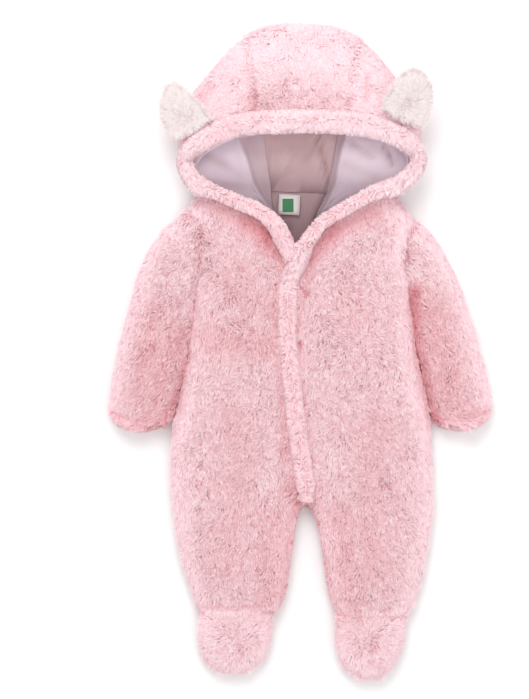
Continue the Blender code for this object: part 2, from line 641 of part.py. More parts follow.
def lining_walls(rows, puffed):
    """Outer and inner grid of a lining: the visible face and the one behind it."""
    face = np.array([lining_section(row, puffed, LINING_WALL) for row in rows])
    across = np.gradient(face, axis=0)
    along = np.gradient(face, axis=1)
    normal = np.cross(across, along)
    normal /= np.maximum(np.linalg.norm(normal, axis=-1, keepdims=True), 1e-9)
    if normal[:, 2, 2].mean() < 0:
        normal = -normal
    return face, face - normal * LINING_WALL


def make_linings():
    """The jersey inside the hood: two puffed sides and a flat centre strip."""
    for side, table in SIDE_LININGS.items():
        rows = [blend_rows(table, k * (len(table) - 1) / 12) for k in range(13)]
        face, behind = lining_walls(rows, True)
        mesh_object(f"hood_lining_{side}", [(face, behind, False)], LILAC, 0.7)
    rows = [blend_rows(CENTRE_LINING, k * 0.5) for k in range(7)]
    face, behind = lining_walls(rows, False)
    mesh_object("hood_lining_centre", [(face, behind, False)], LILAC, 0.7)


def make_back_lining():
    """The lining of the back, where it shows in the neck."""
    under = np.array([[(row.left + (row.right - row.left) * k / 4, row.y, LINING_FLOOR - SEAM_GAP)
                       for k in range(5)] for row in BACK_LINING])
    over = under + np.array((0, 0, LINING_WALL))
    mesh_object("back_lining", [(over, under, False)], LILAC, 0.7)


def make_label():
    """A plain woven label hanging from the back neck seam."""
    width, length = LABEL_SIZE
    turn = np.radians(LABEL_TURN)
    across = np.array((np.cos(turn), np.sin(turn)))
    down = np.array((across[1], -across[0]))
    base = LINING_FLOOR + LINING_WALL
    rows = []
    for share in (0, 0.35, 0.7, 1):
        middle = np.array(LABEL_TOP) + down * length * share
        rows.append([(*(middle + across * width * side / 2), base + LABEL_LIFT * share)
                     for side in (-1, -0.4, 0.4, 1)])
    under = np.array(rows)
    mesh_object("label", [(under + np.array((0, 0, LABEL_WALL)), under, False)], LABEL_WHITE, 0.6)


def smooth_path(table, count):
    """Evenly spaced rows along a table of rows."""
    fine = [blend_rows(table, k * (len(table) - 1) / 400) for k in range(401)]
    points = np.array([(row.x, row.y, row.z) for row in fine])
    lengths = np.concatenate([[0], np.cumsum(np.linalg.norm(np.diff(points, axis=0), axis=1))])
    picks = np.interp(np.linspace(0, lengths[-1], count), lengths, np.arange(401))
    return [blend_rows(table, pick * (len(table) - 1) / 400) for pick in picks]


def rolled_band(name, rows, half_height, flat_under, sides=10):
    """A padded roll of cloth along a path, with closed ends."""
    centres = np.array([(row.x, row.y, row.z) for row in rows])
    ahead = np.gradient(centres[:, :2], axis=0)
    ahead /= np.linalg.norm(ahead, axis=1, keepdims=True)
    vertices = []
    for row, centre, direction in zip(rows, centres, ahead):
        across = np.array((direction[1], -direction[0], 0))
        for k in range(sides):
            angle = 2 * np.pi * k / sides
            up = half_height * max(np.sin(angle), -flat_under)
            point = centre + across * row.half_width * np.cos(angle) + np.array((0, 0, up))
            vertices.append(tuple(point * MM))
    faces = []
    for i in range(len(rows) - 1):
        for k in range(sides):
            a, b = i * sides + k, i * sides + (k + 1) % sides
            faces.append((a, b, b + sides, a + sides))
    last = (len(rows) - 1) * sides
    faces.append(tuple(reversed(range(sides))))
    faces.append(tuple(range(last, last + sides)))
    finish(name, vertices, faces, PALE_PINK)


def make_bands():
    """The band round the hood's opening and the one that covers the front's snaps."""
    rolled_band("hood_rim", smooth_path(RIM, 48), RIM_HEIGHT, 0.86)
    half = PLACKET_WIDTH / 2
    rows = []
    for y in np.linspace(112, -178, 24):
        x = float(read(PLACKET_LINE, "y", "x", y))
        away = to_edges(x, y, free_edges())
        round_down = rounding(away / TOP_ROLL)
        seat = max(body_height(x + side, y) for side in (-half, -half / 2, 0, half / 2, half))
        seat = SEAM_LEVEL + (seat - SEAM_LEVEL) * round_down
        rows.append(Roll(x, y, seat + 0.8 + 0.3 * PLACKET_RISE, half))
    rolled_band("placket", rows, PLACKET_RISE, 0.3)


def make_ears():
    """Each ear is a white front and a pink back, sewn together round the edge."""
    for side, outline in EAR_OUTLINES.items():
        place = EARS[side]
        along = np.array((place.along_x, place.along_y))
        upward = np.array((-along[1], along[0]))
        base = np.array((place.base_x, place.base_y))
        inward = 1 if side == "left" else -1
        grids = {"middle": [], "front": [], "back": []}
        top = outline[-1].up
        for up in (*EAR_ROWS, top):
            left = float(read(outline, "up", "left", up))
            right = float(read(outline, "up", "right", up))
            rows = {key: [] for key in grids}
            for share in EAR_COLUMNS:
                a = left + (right - left) * share
                x, y = base + along * a + upward * up
                z = place.base_z + (place.tip_z - place.base_z) * up / top
                z += place.inner_lift * inward * a / EAR_HALF_BASE
                edge = min(share * (right - left), (1 - share) * (right - left), top - up)
                puff = EAR_WALL * rounding((edge + 1.5) / EAR_ROLL)
                rows["middle"].append((x, y, z))
                rows["front"].append((x, y, z + puff))
                rows["back"].append((x, y, z - puff))
            for key in grids:
                grids[key].append(rows[key])
        middle = np.array(grids["middle"])
        half_gap = np.array((0, 0, SEAM_GAP / 2))
        mesh_object(f"ear_front_{side}", [(np.array(grids["front"]) + half_gap, middle + half_gap, False)],
                    WHITE_PLUSH)
        mesh_object(f"ear_back_{side}", [(np.array(grids["back"]) - half_gap, middle - half_gap, False)],
                    PALE_PINK)


def main():
    for leftover in list(bpy.data.objects):
        bpy.data.objects.remove(leftover)
    make_back()
    make_fronts()
    make_sleeves()
    make_feet()
    make_hood()
    make_linings()
    make_back_lining()
    make_label()
    make_bands()
    make_ears()


main()
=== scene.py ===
"""The look of the hooded fleece romper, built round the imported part.

Metres throughout, in the part's own frame: X across the garment, Y from the feet to the hood, Z up.
Tables of places on the garment are in millimetres. Every piece of fleece is a cloth base, drawn in
from its solid by the depth of the pile, and a layer of pile made of narrow curved locks. Left and
right are as seen from above.
"""

from collections import namedtuple

import bmesh
import bpy
import numpy as np
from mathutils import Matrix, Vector
from mathutils.bvhtree import BVHTree
from mathutils.kdtree import KDTree


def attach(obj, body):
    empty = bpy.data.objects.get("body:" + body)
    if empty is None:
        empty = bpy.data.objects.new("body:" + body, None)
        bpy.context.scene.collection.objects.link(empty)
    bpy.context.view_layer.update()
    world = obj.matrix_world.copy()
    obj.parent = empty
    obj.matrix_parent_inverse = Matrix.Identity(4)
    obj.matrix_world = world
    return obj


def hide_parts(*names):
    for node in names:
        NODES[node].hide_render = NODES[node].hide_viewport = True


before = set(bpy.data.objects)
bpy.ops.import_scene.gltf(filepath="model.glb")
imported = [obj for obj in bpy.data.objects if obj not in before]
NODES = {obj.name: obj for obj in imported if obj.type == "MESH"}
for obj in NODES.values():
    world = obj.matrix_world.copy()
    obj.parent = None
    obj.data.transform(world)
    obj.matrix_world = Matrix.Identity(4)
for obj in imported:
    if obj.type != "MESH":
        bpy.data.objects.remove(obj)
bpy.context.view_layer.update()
MM = 0.001

# ---- camera and light ----
VIEW_CENTRE = (-0.0425, 0.0018)     # what the photograph's centre looks at
VIEW_HEIGHT = 0.8248                # height of the view at the level of the seams
VIEW_LEVEL = 0.015
CAMERA_DISTANCE = 4.0
SEEN_TO = 20                        # the camera sees no further
SENSOR = 36.0                       # mm, along the picture's long side
PAINTED_GLOW = 0.08                         # painted glow: the pile and its cloth give off light of their own, standing in for light passed on from lock to lock
WORLD_STRENGTH = 0.86
FLOOR_SIZE, FLOOR_COLOUR, FLOOR_ROUGHNESS = 6, (0.93, 0.93, 0.93), 0.9
Lamp = namedtuple("Lamp", "place size power")
LAMPS = {"key": Lamp((-0.5, 1.9, 2.4), 1.8, 42), "fill": Lamp((1.2, -0.6, 2.6), 2.0, 12)}

# ---- the skin: how much of the cloth sees out of the garment ----
SKIN_VOXEL, SKIN_SMOOTHING = 0.005, 4
EAR_VOXEL, EAR_SMOOTHING = 0.0024, 2
WELD = 1e-5
LINED = 0.015                       # a wall with lining this close in front of it has no pile,
BAND_LINED = 0.003                  # nor a band with lining this close
ON_BAND = 0.003                     # a face this close to a band is the band's
VIEW_RAYS = 7                       # one ray ahead and the others in a cone round it,
VIEW_SPREAD = 1.3                   # this wide for one metre ahead
VIEW_START, VIEW_REACH = 0.003, 0.06
STEEP = 0.45                        # a side of the garment is a face whose normal rises less

# ---- the cloth under the pile; a pair in brackets is where a change starts and its width ----
QUAD_ANGLE, QUAD_SHAPE = 0.7, 1.2   # triangles that lie within these angles become quads
SHARP = 1.0                         # edges bent more than this, in radians, stay sharp
SUBDIVISIONS = {"back_panel": 1, "hood_lining_centre": 3}       # levels, and two for all others
SEAM_LAP = 0.0025                   # how far hidden walls swell, so that pieces lap at the seams,
LINED_LAP = 0.0008                  # and how far where there is a lining in front of them
LAP_OPEN, LAP_DEPTH = 0.35, 0.004   # walls that see out more, or lie deeper inside, don't swell
DRAWN_REACH = 0.012                 # cloth deeper inside than this isn't drawn in,
DRAWN_OPEN = (0.2, 0.55)            # nor cloth that sees out less
DRAWN_HEIGHT = (0.001, 0.008)       # or lies on the table
CREASED_HEIGHT = (0.016, 0.010)     # creases and dimples are on the upper side
COVER_OPEN = (0.1, 0.15)            # the pile's cover grows with how much the cloth sees out,
COVER_DEPTH = 0.0045                # and there is none on cloth deeper inside than this,
COVER_TURN = 0.2                    # turned away from the skin,
CLOSE_TO_FLOOR = 0.0025             # lower than this, where it rests on the table,
UNDERSIDE = -0.8                    # facing down more than this,
BACK_INSIDE = 0.5                   # or on the inner side of the back

# ---- locks of pile ----
PILE_PER_M2 = 900_000
FLEECE_SEED, BAND_SEED, EAR_SEED = 100, 200, 300
FLOOR_CLEARANCE = 0.0004
LOCK_STATIONS = np.array((0.0, 0.5, 1.0))       # where a lock is cut along its length
LOCK_HEIGHTS = np.array((-0.15, 1.0, 0.62))     # how high it stands there, of its rise
LOCK_WIDTHS = np.array((0.85, 1.0, 0.0))
LOCK_SWAYS = np.array((0.0, 1.0, -0.6))
LOCK_GATHERS = np.array((0.0, 0.5, 1.0))        # how far it leans to its tuft there
LENGTH_RANGE = (0.65, 1.25)         # the least and the most of the pile's length,
RISE_RANGE = (0.6, 1.15)            # of its rise,
WIDTH_RANGE = (0.7, 1.25)           # and of its width
SMOOTH_SWIRL, SMOOTH_RISE = 0.3, 0.55           # what brushed pile keeps of its swirl and rise
SWIRLS = ((1.1, 0.034, 3), (0.9, 0.012, 5))     # strength, scale and seed of each noise
STRAY = (0.12, 0.3)                 # how far locks stray, and how much more where they curl
GATHER = (0.12, 0.5)                # how far they lean to their tufts, and likewise
SWAY = 0.12                         # of a lock's length
ROLL = 0.3                          # radians
TONE_OWN, TONE_TUFT = 0.6, 0.7      # how much of a lock's tone is its own and its tuft's
TONE_SHIFT = 0.16                   # how far a tone moves a lock's colour from root to tip
SHADE_NORMAL, SHADE_LOCK, SHADE_SIDE = 0.8, 0.6, 0.3    # a lock is shaded partly as the cloth is
OUTWARD_UP = 0.8                    # locks face out of the cloth and up

# ---- nap: which way the pile lies before it swirls ----
NAP_SPREAD, NAP_DOWN, NAP_FALL = 2.5, -0.8, -0.15       # to the sides, to the feet, to the table
NAP_SLEEVE = 0.2
NAP_BAND_OUT, NAP_BAND = (1.2, 1.2, 0), (0, -0.35, -0.3)
NAP_FOOT_OUT, NAP_FOOT = 26, (0, -0.25)
NAP_HOOD_SPREAD, NAP_HOOD_DOWN = 4, -0.2
NAP_EAR_OUT, NAP_EAR = 60, (0.3, 0.4)
NAP_STEEP = 1.6                     # on the sides of the garment it falls to the table

# ---- the kinds of pile, in metres; tuft is the locks in one, and density a share of PILE_PER_M2 ----
Pile = namedtuple("Pile", "inset rise length width swirl curl tuft density slot look")
PILES = {
    "fleece": Pile(0.0058, 0.0048, 0.0092, 0.00125, 0.9, 0.6, 6, 1.0, "fleece", "fleece_pile"),
    "hood": Pile(0.0060, 0.0048, 0.0088, 0.00125, 0.9, 1.0, 7, 1.05, "fleece", "fleece_pile"),
    "band": Pile(0.0042, 0.0046, 0.0076, 0.00125, 0.7, 0.6, 14, 1.7, "band", "band_pile"),
    "ear": Pile(0.0024, 0.0022, 0.0086, 0.0010, 0.4, 0.3, 8, 1.7, "ear_plush", "ear_pile"),
    "ear_back": Pile(0.0024, 0.0030, 0.0060, 0.0011, 0.7, 0.5, 8, 1.3, "band", "band_pile"),
}
FLEECE_NODES = {
    "back_panel": "hood", "front_left": "fleece", "front_right": "fleece", "sleeve_left": "fleece",
    "sleeve_right": "fleece", "foot_upper_left": "fleece", "foot_upper_right": "fleece",
    "foot_sole_left": "fleece", "foot_sole_right": "fleece", "hood_left": "hood",
    "hood_centre": "hood", "hood_right": "hood"}
BAND_NODES = ("hood_rim", "placket")
EAR_NODES = {"ear_front_left": "ear", "ear_front_right": "ear",
             "ear_back_left": "ear_back", "ear_back_right": "ear_back"}
LINING_NODES = ("hood_lining_left", "hood_lining_centre", "hood_lining_right", "back_lining")

# ---- creases and dimples of the fleece: soft troughs on the upper side, mm ----
Crease = namedtuple("Crease", "x1 y1 x2 y2 depth half_width")
CREASES = [Crease(*row) for row in (
    (-114, 168, -114.5, 90, 1.6, 5), (-114.5, 90, -122, 72, 2.2, 6),
    (133, 158, 123, 105, 1.6, 5), (123, 105, 126, 66, 2.2, 6),
    (-54, 384, -53, 292, 0.8, 3.5), (70, 350, 72, 296, 0.8, 3.5),
    (-36, -46, -18, -48, 2.0, 5), (-40, -60, -18, -56, 1.5, 5),
    (-224, -70, -190, -84, 1.5, 3), (-190, -84, -155, -83, 1.5, 3),
    (156, -83, 196, -81, 1.5, 3), (196, -81, 224, -67, 1.5, 3),
    (-150, 30, -196, 44, 1.4, 8), (150, 20, 200, 38, 1.4, 8),
    (-108, -298, -106, -312, 1.2, 3), (-91, -294, -92, -312, 1.4, 3.5), (-73, -299, -74, -312, 1.1, 3),
    (-54, -295, -53, -312, 1.4, 3), (-40, -300, -41, -312, 1.0, 3), (52, -298, 51, -312, 1.2, 3),
    (69, -295, 70, -312, 1.3, 3.5), (86, -300, 85, -312, 1.0, 3), (101, -296, 102, -312, 1.4, 3))]
Dimple = namedtuple("Dimple", "x y depth radius")
DIMPLES = [Dimple(*row) for row in (
    (4.5, 70.8, 2.4, 5), (0.5, 12, 2.4, 5), (5, -61, 2.4, 5), (12.5, -123.9, 2.4, 4.5),
    (-3, -177, 2.4, 4.5), (23, -200.6, 2.4, 4), (29, -246.6, 2.4, 4.5),
    (30, -289, 2.2, 4), (-11.2, -223, 2.4, 4.5), (-16, -276, 2.4, 4.5))]

# ---- where the pile is curled, where it is brushed smooth and painted paler as a painted highlight, and where it is worn short, mm ----
EDGE_SMOOTH = 3             # smooth as far as this from the garment's edges,
EDGE_CURLED = 30            # and fully curled from here on
Spot = namedtuple("Spot", "x y radius_x radius_y")
FOREHEAD_CURLS = Spot(-11, 297, 64, 33)
FOREHEAD_CURL = 0.75
FOOT_CURL = 0.6
BAND_CURL, BAND_SIDE_CURL = 0.3, 0.6            # on top of a band, and how much more on its sides,
BAND_TOP, BAND_TURN = 0.9, 0.5      # which begin where its normal rises less than this
SHORT_EDGE = 1.4                    # how sharply the worn strips end
DIMPLE_WORN = 0.6
Strip = namedtuple("Strip", "x1 y1 x2 y2 half_width share")
SHORT_STRIPS = [Strip(*row) for row in (
    (6.5, -176, 6.5, -192, 16, 0.45), (-2, -196, -20, -300, 13, 0.6), (16, -196, 34, -300, 13, 0.6),
    (-118, -304, -34, -303, 6, 0.5), (48, -308, 116, -310, 5, 0.6))]
BRUSHED_STRIPS = [Strip(*row) for row in (
    (123, 84, 126, 37, 12, 0), (126, 37, 132, -11, 12, 0), (132, -11, 141, -58, 12, 0),
    (141, -58, 150, -93, 12, 0), (-118, 84, -122, 20, 10, 0.1), (-122, 20, -138, -88, 11, 0.1),
    (-118, -304, -34, -303, 8, 0), (48, -308, 116, -310, 6, 0.2), (118, 165, 112, 110, 10, 0.3))]

# ---- painted shade: deep pink painted into the pile where shade falls, in valleys and under the bands; share at the line, mm ----
ShadeLine = namedtuple("ShadeLine", "x1 y1 x2 y2 share half_width")
PAINTED_SHADE_LINES = [ShadeLine(*row) for row in (
    # under the left arm of the band, and where the arms cross
    (-98, 174, -64, 157, 0.5, 13), (-64, 157, -45, 147, 0.9, 14), (-45, 147, -34, 133, 1.0, 15),
    (-34, 133, -27, 115, 0.8, 12), (-27, 115, -18, 99, 0.6, 9), (-7, 121, -17, 98, 1.0, 2.5),
    # under the right arm
    (85, 168, 42, 148, 0.6, 13), (42, 148, 26, 133, 0.9, 14), (26, 133, 14, 112, 0.8, 12),
    (14, 112, 2, 79, 0.5, 9),
    # beside the front band
    (1, 79, -3, 42, 0.45, 6), (-2, 42, -4, 16, 0.5, 4), (-26, 90, -27, 10, 0.4, 8),
    (-14, 75, -15, 1, 0.45, 14), (-15, 1, -9, -58, 0.5, 14), (-9, -58, 3, -164, 0.5, 15),
    (2, -50, 4, -100, 0.45, 5), (-21, -50, -17, -130, 0.45, 5),
    # chest and belly
    (-110, 20, -40, 12, 0.35, 24), (-80, 90, -40, 60, 0.25, 32), (50, 60, 70, 20, 0.15, 30),
    # legs
    (-2, -160, 4, -195, 0.5, 22), (-30, -195, -38, -300, 0.35, 22), (46, -190, 58, -310, 0.35, 20),
    (-75, -80, -85, -250, 0.22, 26), (85, -80, 80, -260, 0.25, 24),
    (-10, -180, -24, -290, 0.4, 10), (14, -180, 30, -290, 0.5, 13),
    # left sleeve
    (-117, 150, -117, 90, 0.3, 5), (-121, 70, -132, 0, 0.5, 6), (-132, 0, -147, -66, 0.8, 8),
    (-146, -50, -160, -82, 0.7, 12), (-144, 25, -178, -87, 0.5, 18), (-165, 50, -185, -50, 0.4, 20),
    (-150, -93, -222, -84, 0.35, 6), (-150, -84, -222, -72, 0.45, 7),
    # right sleeve
    (131, 150, 127, 108, 0.15, 4), (134, 76, 133, 60, 1.0, 9), (133, 60, 140, 0, 1.0, 10),
    (140, 0, 158, -80, 0.95, 11), (150, 50, 178, -60, 0.45, 22),
    (164, -78, 220, -68, 0.5, 8), (164, -88, 224, -76, 0.35, 6),
    # hood
    (-53, 300, -53, 268, 0.6, 5), (-50, 285, 44, 281, 0.15, 16), (-102, 252, -72, 268, 0.5, 5),
    (-100, 310, -120, 290, 0.3, 5), (74, 322, 74, 296, 0.35, 4),
    # ankles
    (-120, -297, -34, -295, 0.5, 2.5), (-122, -312, -32, -312, 0.55, 2.5),
    (46, -314, 122, -317, 0.5, 2.5))]

# ---- where the bands meet at the bottom of the neck: how far their ends are drawn, mm ----
Draw = namedtuple("Draw", "from_y over x y z widen")
LEFT_BAND_END = Draw(150, 30, 9, -22, -13, 0)
RIGHT_BAND_END = Draw(150, 34, -5, -9, -4, 0)
PLACKET_TOP = Draw(76, 34, 13, 9, 9, 0.2)
DRAW_EASE = 1.5             # how slowly the shift begins

# ---- where the band is narrower than its roll, along its inner edge from left to right, mm ----
Narrowing = namedtuple("Narrowing", "x1 y1 x2 y2 by1 by2 fade1 fade2")
NARROWINGS = (Narrowing(-107, 187.4, -50, 167.5, 13, 12, 0.25, 0.8),
              Narrowing(22, 152, 83, 187, 16, 14, 0.6, 0.4))
BAND_WIDTH = 23             # the band as far as its outer edge;
BAND_INSIDE = 9             # it begins to be drawn in this far inside that edge,
BAND_GIVE = 45              # and the fleece beside it follows, less and less, this far;
BAND_LEVEL = 0.008          # only what lies higher than this, in metres, follows

# ---- the linings; folds are troughs, or ridges where the depth is negative, mm ----
LINING_LIFT = 2.2
LINING_LAP = 3.0            # how far the middle and back linings run on under their neighbours,
TUCK = 8.0                  # and how far every lining runs on under the band
TUCK_REACH = 14             # from this far off it turns towards the band
LAP_DROP = 0.7              # the middle lining lies lower by this, and the back's by twice this
LAP_OVER = 12               # the width over which a lining's side grows out
BACK_LAP = (165, 15)        # and the same for the top of the back's
RISEN = (28, 8)             # above this the linings turn up to the band, and have no folds
LINING_MIDDLE = (0, 0.225, 0)       # the middle of the hood's opening, in metres
WING_TIPS = {"hood_lining_left": Draw(165, 20, -2, -5, 0, 0),
             "hood_lining_right": Draw(165, 20, 3, -6, 0, 0)}
LINING_FOLDS = [Crease(*row) for row in (
    (-118, 235, -89, 219, 1.6, 5), (-101, 196, -60, 190, 1.4, 5), (-96, 222, -68, 206, 0.9, 7),
    (58, 247, 84, 228, 2.0, 4), (98, 240, 105, 231, 4.0, 1.8), (105, 231, 108, 219, 3.0, 1.8),
    (52, 220, 88, 204, 1.5, 6),
    (84, 240, 112, 222, 1.2, 5), (74, 188, 114, 208, -1.6, 2.2),
    (-38, 233, -10, 208, 1.5, 4), (16.9, 254, 25.4, 225, 3.0, 2.2), (25.4, 225, 31, 186, 3.0, 2.2),
    (15, 248, 6.5, 227, 1.3, 3), (-24, 250, -20, 190, 0.9, 8), (0, 246, 4, 196, 0.8, 9))]
Fold = namedtuple("Fold", "y left right")
WING_FOLD = [Fold(*row) for row in (        # where the side linings step up from the floor
    (140, -14, 9), (155, -25, 17.7), (170, -36, 27), (184, -45.5, 34), (199, -54, 40),
    (216, -58.5, 43), (237, -66, 47), (252, -71, 51), (300, -85, 65))]
WING_RISE = 14.0
SOLID_WING_STEP = 13.0      # how wide the step is in the solids, which is wider than the real one
SOLID_WING_LEAD = 0.35 * SOLID_WING_STEP
WING_STEP, WING_LEAD = 5.0, 2       # the real fold is this sharp
WING_OVAL = (150, 225, 165)         # the opening's half width, middle and half height:
WING_RIM = (0.72, 0.26)             # the step fades towards it,
WING_END = (246, 45)                # and towards the top
FOLD_SHADE = 0.35                   # how dark a fold is for each millimetre of depth
NECK_SHADE = (0.155, 0.09)          # metres up the garment: the linings are darkest in the neck
LABEL_PATCH = (-0.0148, 0.1716, 0.0066, 0.0080)     # middle and half sizes of the green block

# ---- a cut of cloth: its width and length in m, its area in m2, and what it rests on ----
Cut = namedtuple("Cut", "width length area rests_on")


# ---------------------------------------------------------------- numbers
def unit(vectors):
    """The vectors, each one metre long."""
    return vectors / np.maximum(np.linalg.norm(vectors, axis=-1, keepdims=True), 1e-9)


def along(vectors, others):
    """Dot products, kept as a column."""
    return (vectors * others).sum(axis=-1, keepdims=True)


def step(value, start=0, width=1):
    """A smooth step from 0 to 1, over a width from the start."""
    t = np.clip((value - start) / width, 0, 1)
    return t * t * (3 - 2 * t)


def noise(points, scale, seed):
    """Smooth random vectors in space, alike over about one scale."""
    size = 32
    lattice = np.random.default_rng(seed).uniform(-1, 1, (size, size, size, 3))
    cells = points / scale
    base = np.floor(cells).astype(int)
    t = step(cells - base)
    total = np.zeros_like(points)
    for corner in np.ndindex(2, 2, 2):
        weight = np.prod(np.where(corner, t, 1 - t), axis=1, keepdims=True)
        i, j, k = ((base + corner) % size).T
        total += weight * lattice[i, j, k]
    return total


def to_segment(x, y, line):
    """Distance in plan from points to the straight line of a crease or strip."""
    dx, dy = line.x2 - line.x1, line.y2 - line.y1
    t = np.clip(((x - line.x1) * dx + (y - line.y1) * dy) / (dx * dx + dy * dy), 0, 1)
    return np.hypot(x - line.x1 - t * dx, y - line.y1 - t * dy)


def troughs(x, y, creases):
    """How deep creases are at each place."""
    depth = np.zeros(len(x))
    for crease in creases:
        away = to_segment(x, y, crease) / crease.half_width
        depth += crease.depth * np.exp(-away * away)
    return depth


# ---------------------------------------------------------------- meshes
def arrays(mesh):
    """A mesh's points, point normals and faces of three or four corners."""
    points = np.empty(len(mesh.vertices) * 3)
    mesh.vertices.foreach_get("co", points)
    normals = np.empty(len(mesh.vertices) * 3)
    mesh.vertex_normals.foreach_get("vector", normals)
    return points.reshape(-1, 3), normals.reshape(-1, 3), [tuple(p.vertices) for p in mesh.polygons]


def face_arrays(mesh):
    """The middle and the normal of each of a mesh's faces."""
    centres = np.empty(len(mesh.polygons) * 3)
    mesh.polygons.foreach_get("center", centres)
    normals = np.empty(len(mesh.polygons) * 3)
    mesh.polygons.foreach_get("normal", normals)
    return centres.reshape(-1, 3), normals.reshape(-1, 3)


def joined(nodes):
    """Several CAD nodes as one mesh."""
    points, faces, count = [], [], 0
    for node in nodes:
        more, _, loops = arrays(NODES[node].data)
        points.append(more)
        faces += [tuple(i + count for i in loop) for loop in loops]
        count += len(more)
    mesh = bpy.data.meshes.new("joined")
    mesh.from_pydata(np.concatenate(points).tolist(), [], faces)
    return mesh


def tree_of(nodes):
    """A tree of CAD nodes for casting rays."""
    mesh = joined(nodes)
    points, _, faces = arrays(mesh)
    bpy.data.meshes.remove(mesh)
    return BVHTree.FromPolygons(points.tolist(), faces)


def evaluated(mesh, modifiers):
    """The mesh as a stack of modifiers leaves it."""
    holder = bpy.data.objects.new("holder", mesh)
    bpy.context.collection.objects.link(holder)
    for kind, settings in modifiers:
        modifier = holder.modifiers.new(kind, kind)
        for key, value in settings.items():
            setattr(modifier, key, value)
    done = bpy.data.meshes.new_from_object(holder.evaluated_get(bpy.context.evaluated_depsgraph_get()))
    bpy.data.objects.remove(holder)
    bpy.data.meshes.remove(mesh)
    return done


def subdivided(node):
    """A CAD node's mesh in quads, subdivided smoothly, with its sharp edges kept."""
    levels = SUBDIVISIONS.get(node, 2)
    mesh = joined([node])
    grid = bmesh.new()
    grid.from_mesh(mesh)
    bmesh.ops.remove_doubles(grid, verts=grid.verts, dist=WELD)
    bmesh.ops.join_triangles(
        grid, faces=grid.faces, angle_face_threshold=QUAD_ANGLE, angle_shape_threshold=QUAD_SHAPE)
    crease = grid.edges.layers.float.new("crease_edge")
    for edge in grid.edges:
        edge[crease] = float(edge.calc_face_angle(0) > SHARP)
    grid.to_mesh(mesh)
    grid.free()
    return evaluated(mesh, [("SUBSURF", {"levels": levels, "render_levels": levels})])


def make_object(name, mesh, material):
    """A piece of the garment, riding on the part's one body."""
    mesh.shade_smooth()
    mesh.materials.clear()
    mesh.materials.append(material)
    piece = bpy.data.objects.new(name, mesh)
    bpy.context.collection.objects.link(piece)
    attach(piece, "root")
    return piece


def move_points(mesh, points):
    """Put a mesh's points in new places."""
    mesh.vertices.foreach_set("co", points.reshape(-1))
    mesh.update()


# ---------------------------------------------------------------- skin
class Skin:
    """One closed skin over several nodes, with how open to view each of its faces is."""

    def __init__(self, nodes, voxel, smoothing, linings, bands, around):
        mesh = evaluated(joined(nodes), [
            ("WELD", {"merge_threshold": WELD}),
            ("REMESH", {"mode": "VOXEL", "voxel_size": voxel}),
            ("SMOOTH", {"factor": 0.5, "iterations": smoothing})])
        points, _, faces = arrays(mesh)
        centres, self.normals = face_arrays(mesh)
        self.tree = BVHTree.FromPolygons(points.tolist(), faces)
        self.openness = np.array([openness(centre, normal, linings, bands, around)
                                  for centre, normal in zip(centres, self.normals)])
        steep = (np.abs(self.normals[:, 2]) < STEEP) & (self.openness > 0)
        sides = [c for c in centres[steep] if bands.find_nearest(Vector(c))[3] > 2 * BAND_LINED]
        self.sides = KDTree(len(sides))
        for index, (x, y, _) in enumerate(sides):
            self.sides.insert((x, y, 0), index)
        self.sides.balance()
        bpy.data.meshes.remove(mesh)

    def from_edge(self, points):
        """How far each point is, in plan and in mm, from where the garment turns down to the table."""
        return np.array([self.sides.find((x, y, 0))[2] for x, y, _ in points]) / MM

    def nearest(self, points):
        """For each point: the skin's normal there, how open it is, and its distance."""
        found = [self.tree.find_nearest(Vector(point)) for point in points]
        faces = [hit[2] for hit in found]
        return self.normals[faces], self.openness[faces], np.array([hit[3] for hit in found])


def openness(centre, normal, linings, bands, around):
    """The share of directions in which a face sees out of the garment."""
    start, ahead = Vector(centre), Vector(normal)
    on_band = bands.find_nearest(start)[3] < ON_BAND
    if linings.ray_cast(start, ahead, BAND_LINED if on_band else LINED)[0] is not None:
        return 0.0
    side = ahead.orthogonal().normalized()
    other = ahead.cross(side)
    start = start + ahead * VIEW_START
    escapes = around.ray_cast(start, ahead, VIEW_REACH)[0] is None
    for k in range(VIEW_RAYS - 1):
        angle = 2 * np.pi * k / (VIEW_RAYS - 1)
        tilted = (ahead + VIEW_SPREAD * (side * np.cos(angle) + other * np.sin(angle))).normalized()
        escapes += around.ray_cast(start, tilted, VIEW_REACH)[0] is None
    return escapes / VIEW_RAYS


def dimpled(x, y, dimple, power=2):
    """How strong one dimple is at each place, 1 in its middle."""
    return np.exp(-(np.hypot(x - dimple.x, y - dimple.y) / dimple.radius) ** power)


def draw_in(points, skin, inset, seam_lap):
    """Move points in from the garment's skin by the depth of the pile; what lies deep inside stays."""
    normals, opening, depth = skin.nearest(points)
    height = points[:, 2]
    share = np.maximum(1 - depth / DRAWN_REACH, 0) * step(opening, *DRAWN_OPEN)
    share *= step(height, *DRAWN_HEIGHT)
    lap = seam_lap * (1 - step(opening / LAP_OPEN)) * (depth < LAP_DEPTH)
    moved = points - normals * (inset * share - lap)[:, None]
    x, y = points[:, 0] / MM, points[:, 1] / MM
    creased = troughs(x, y, CREASES)
    for dimple in DIMPLES:
        creased += dimple.depth * dimpled(x, y, dimple)
    moved[:, 2] -= creased * MM * step(height, *CREASED_HEIGHT)
    moved[:, 2] = np.maximum(moved[:, 2], height.min())
    return moved


def drawn_ends(node, points):
    """Draw the ends of the bands together at the bottom of the neck, where they overlap."""
    x, y = points[:, 0] / MM, points[:, 1] / MM
    shift = np.zeros_like(points)
    if node == "hood_rim":
        for end, here in ((LEFT_BAND_END, x < 0), (RIGHT_BAND_END, x >= 0)):
            share = np.clip((end.from_y - y) / end.over, 0, 1) ** DRAW_EASE * here
            shift += share[:, None] * (end.x, end.y, end.z)
    elif node == "placket":
        end = PLACKET_TOP
        share = np.clip((y - end.from_y) / end.over, 0, 1) ** DRAW_EASE
        shift += share[:, None] * (end.x, end.y, end.z)
        shift[:, 0] += share * end.widen * (x - x[y > end.from_y].mean())
    return points + shift * MM


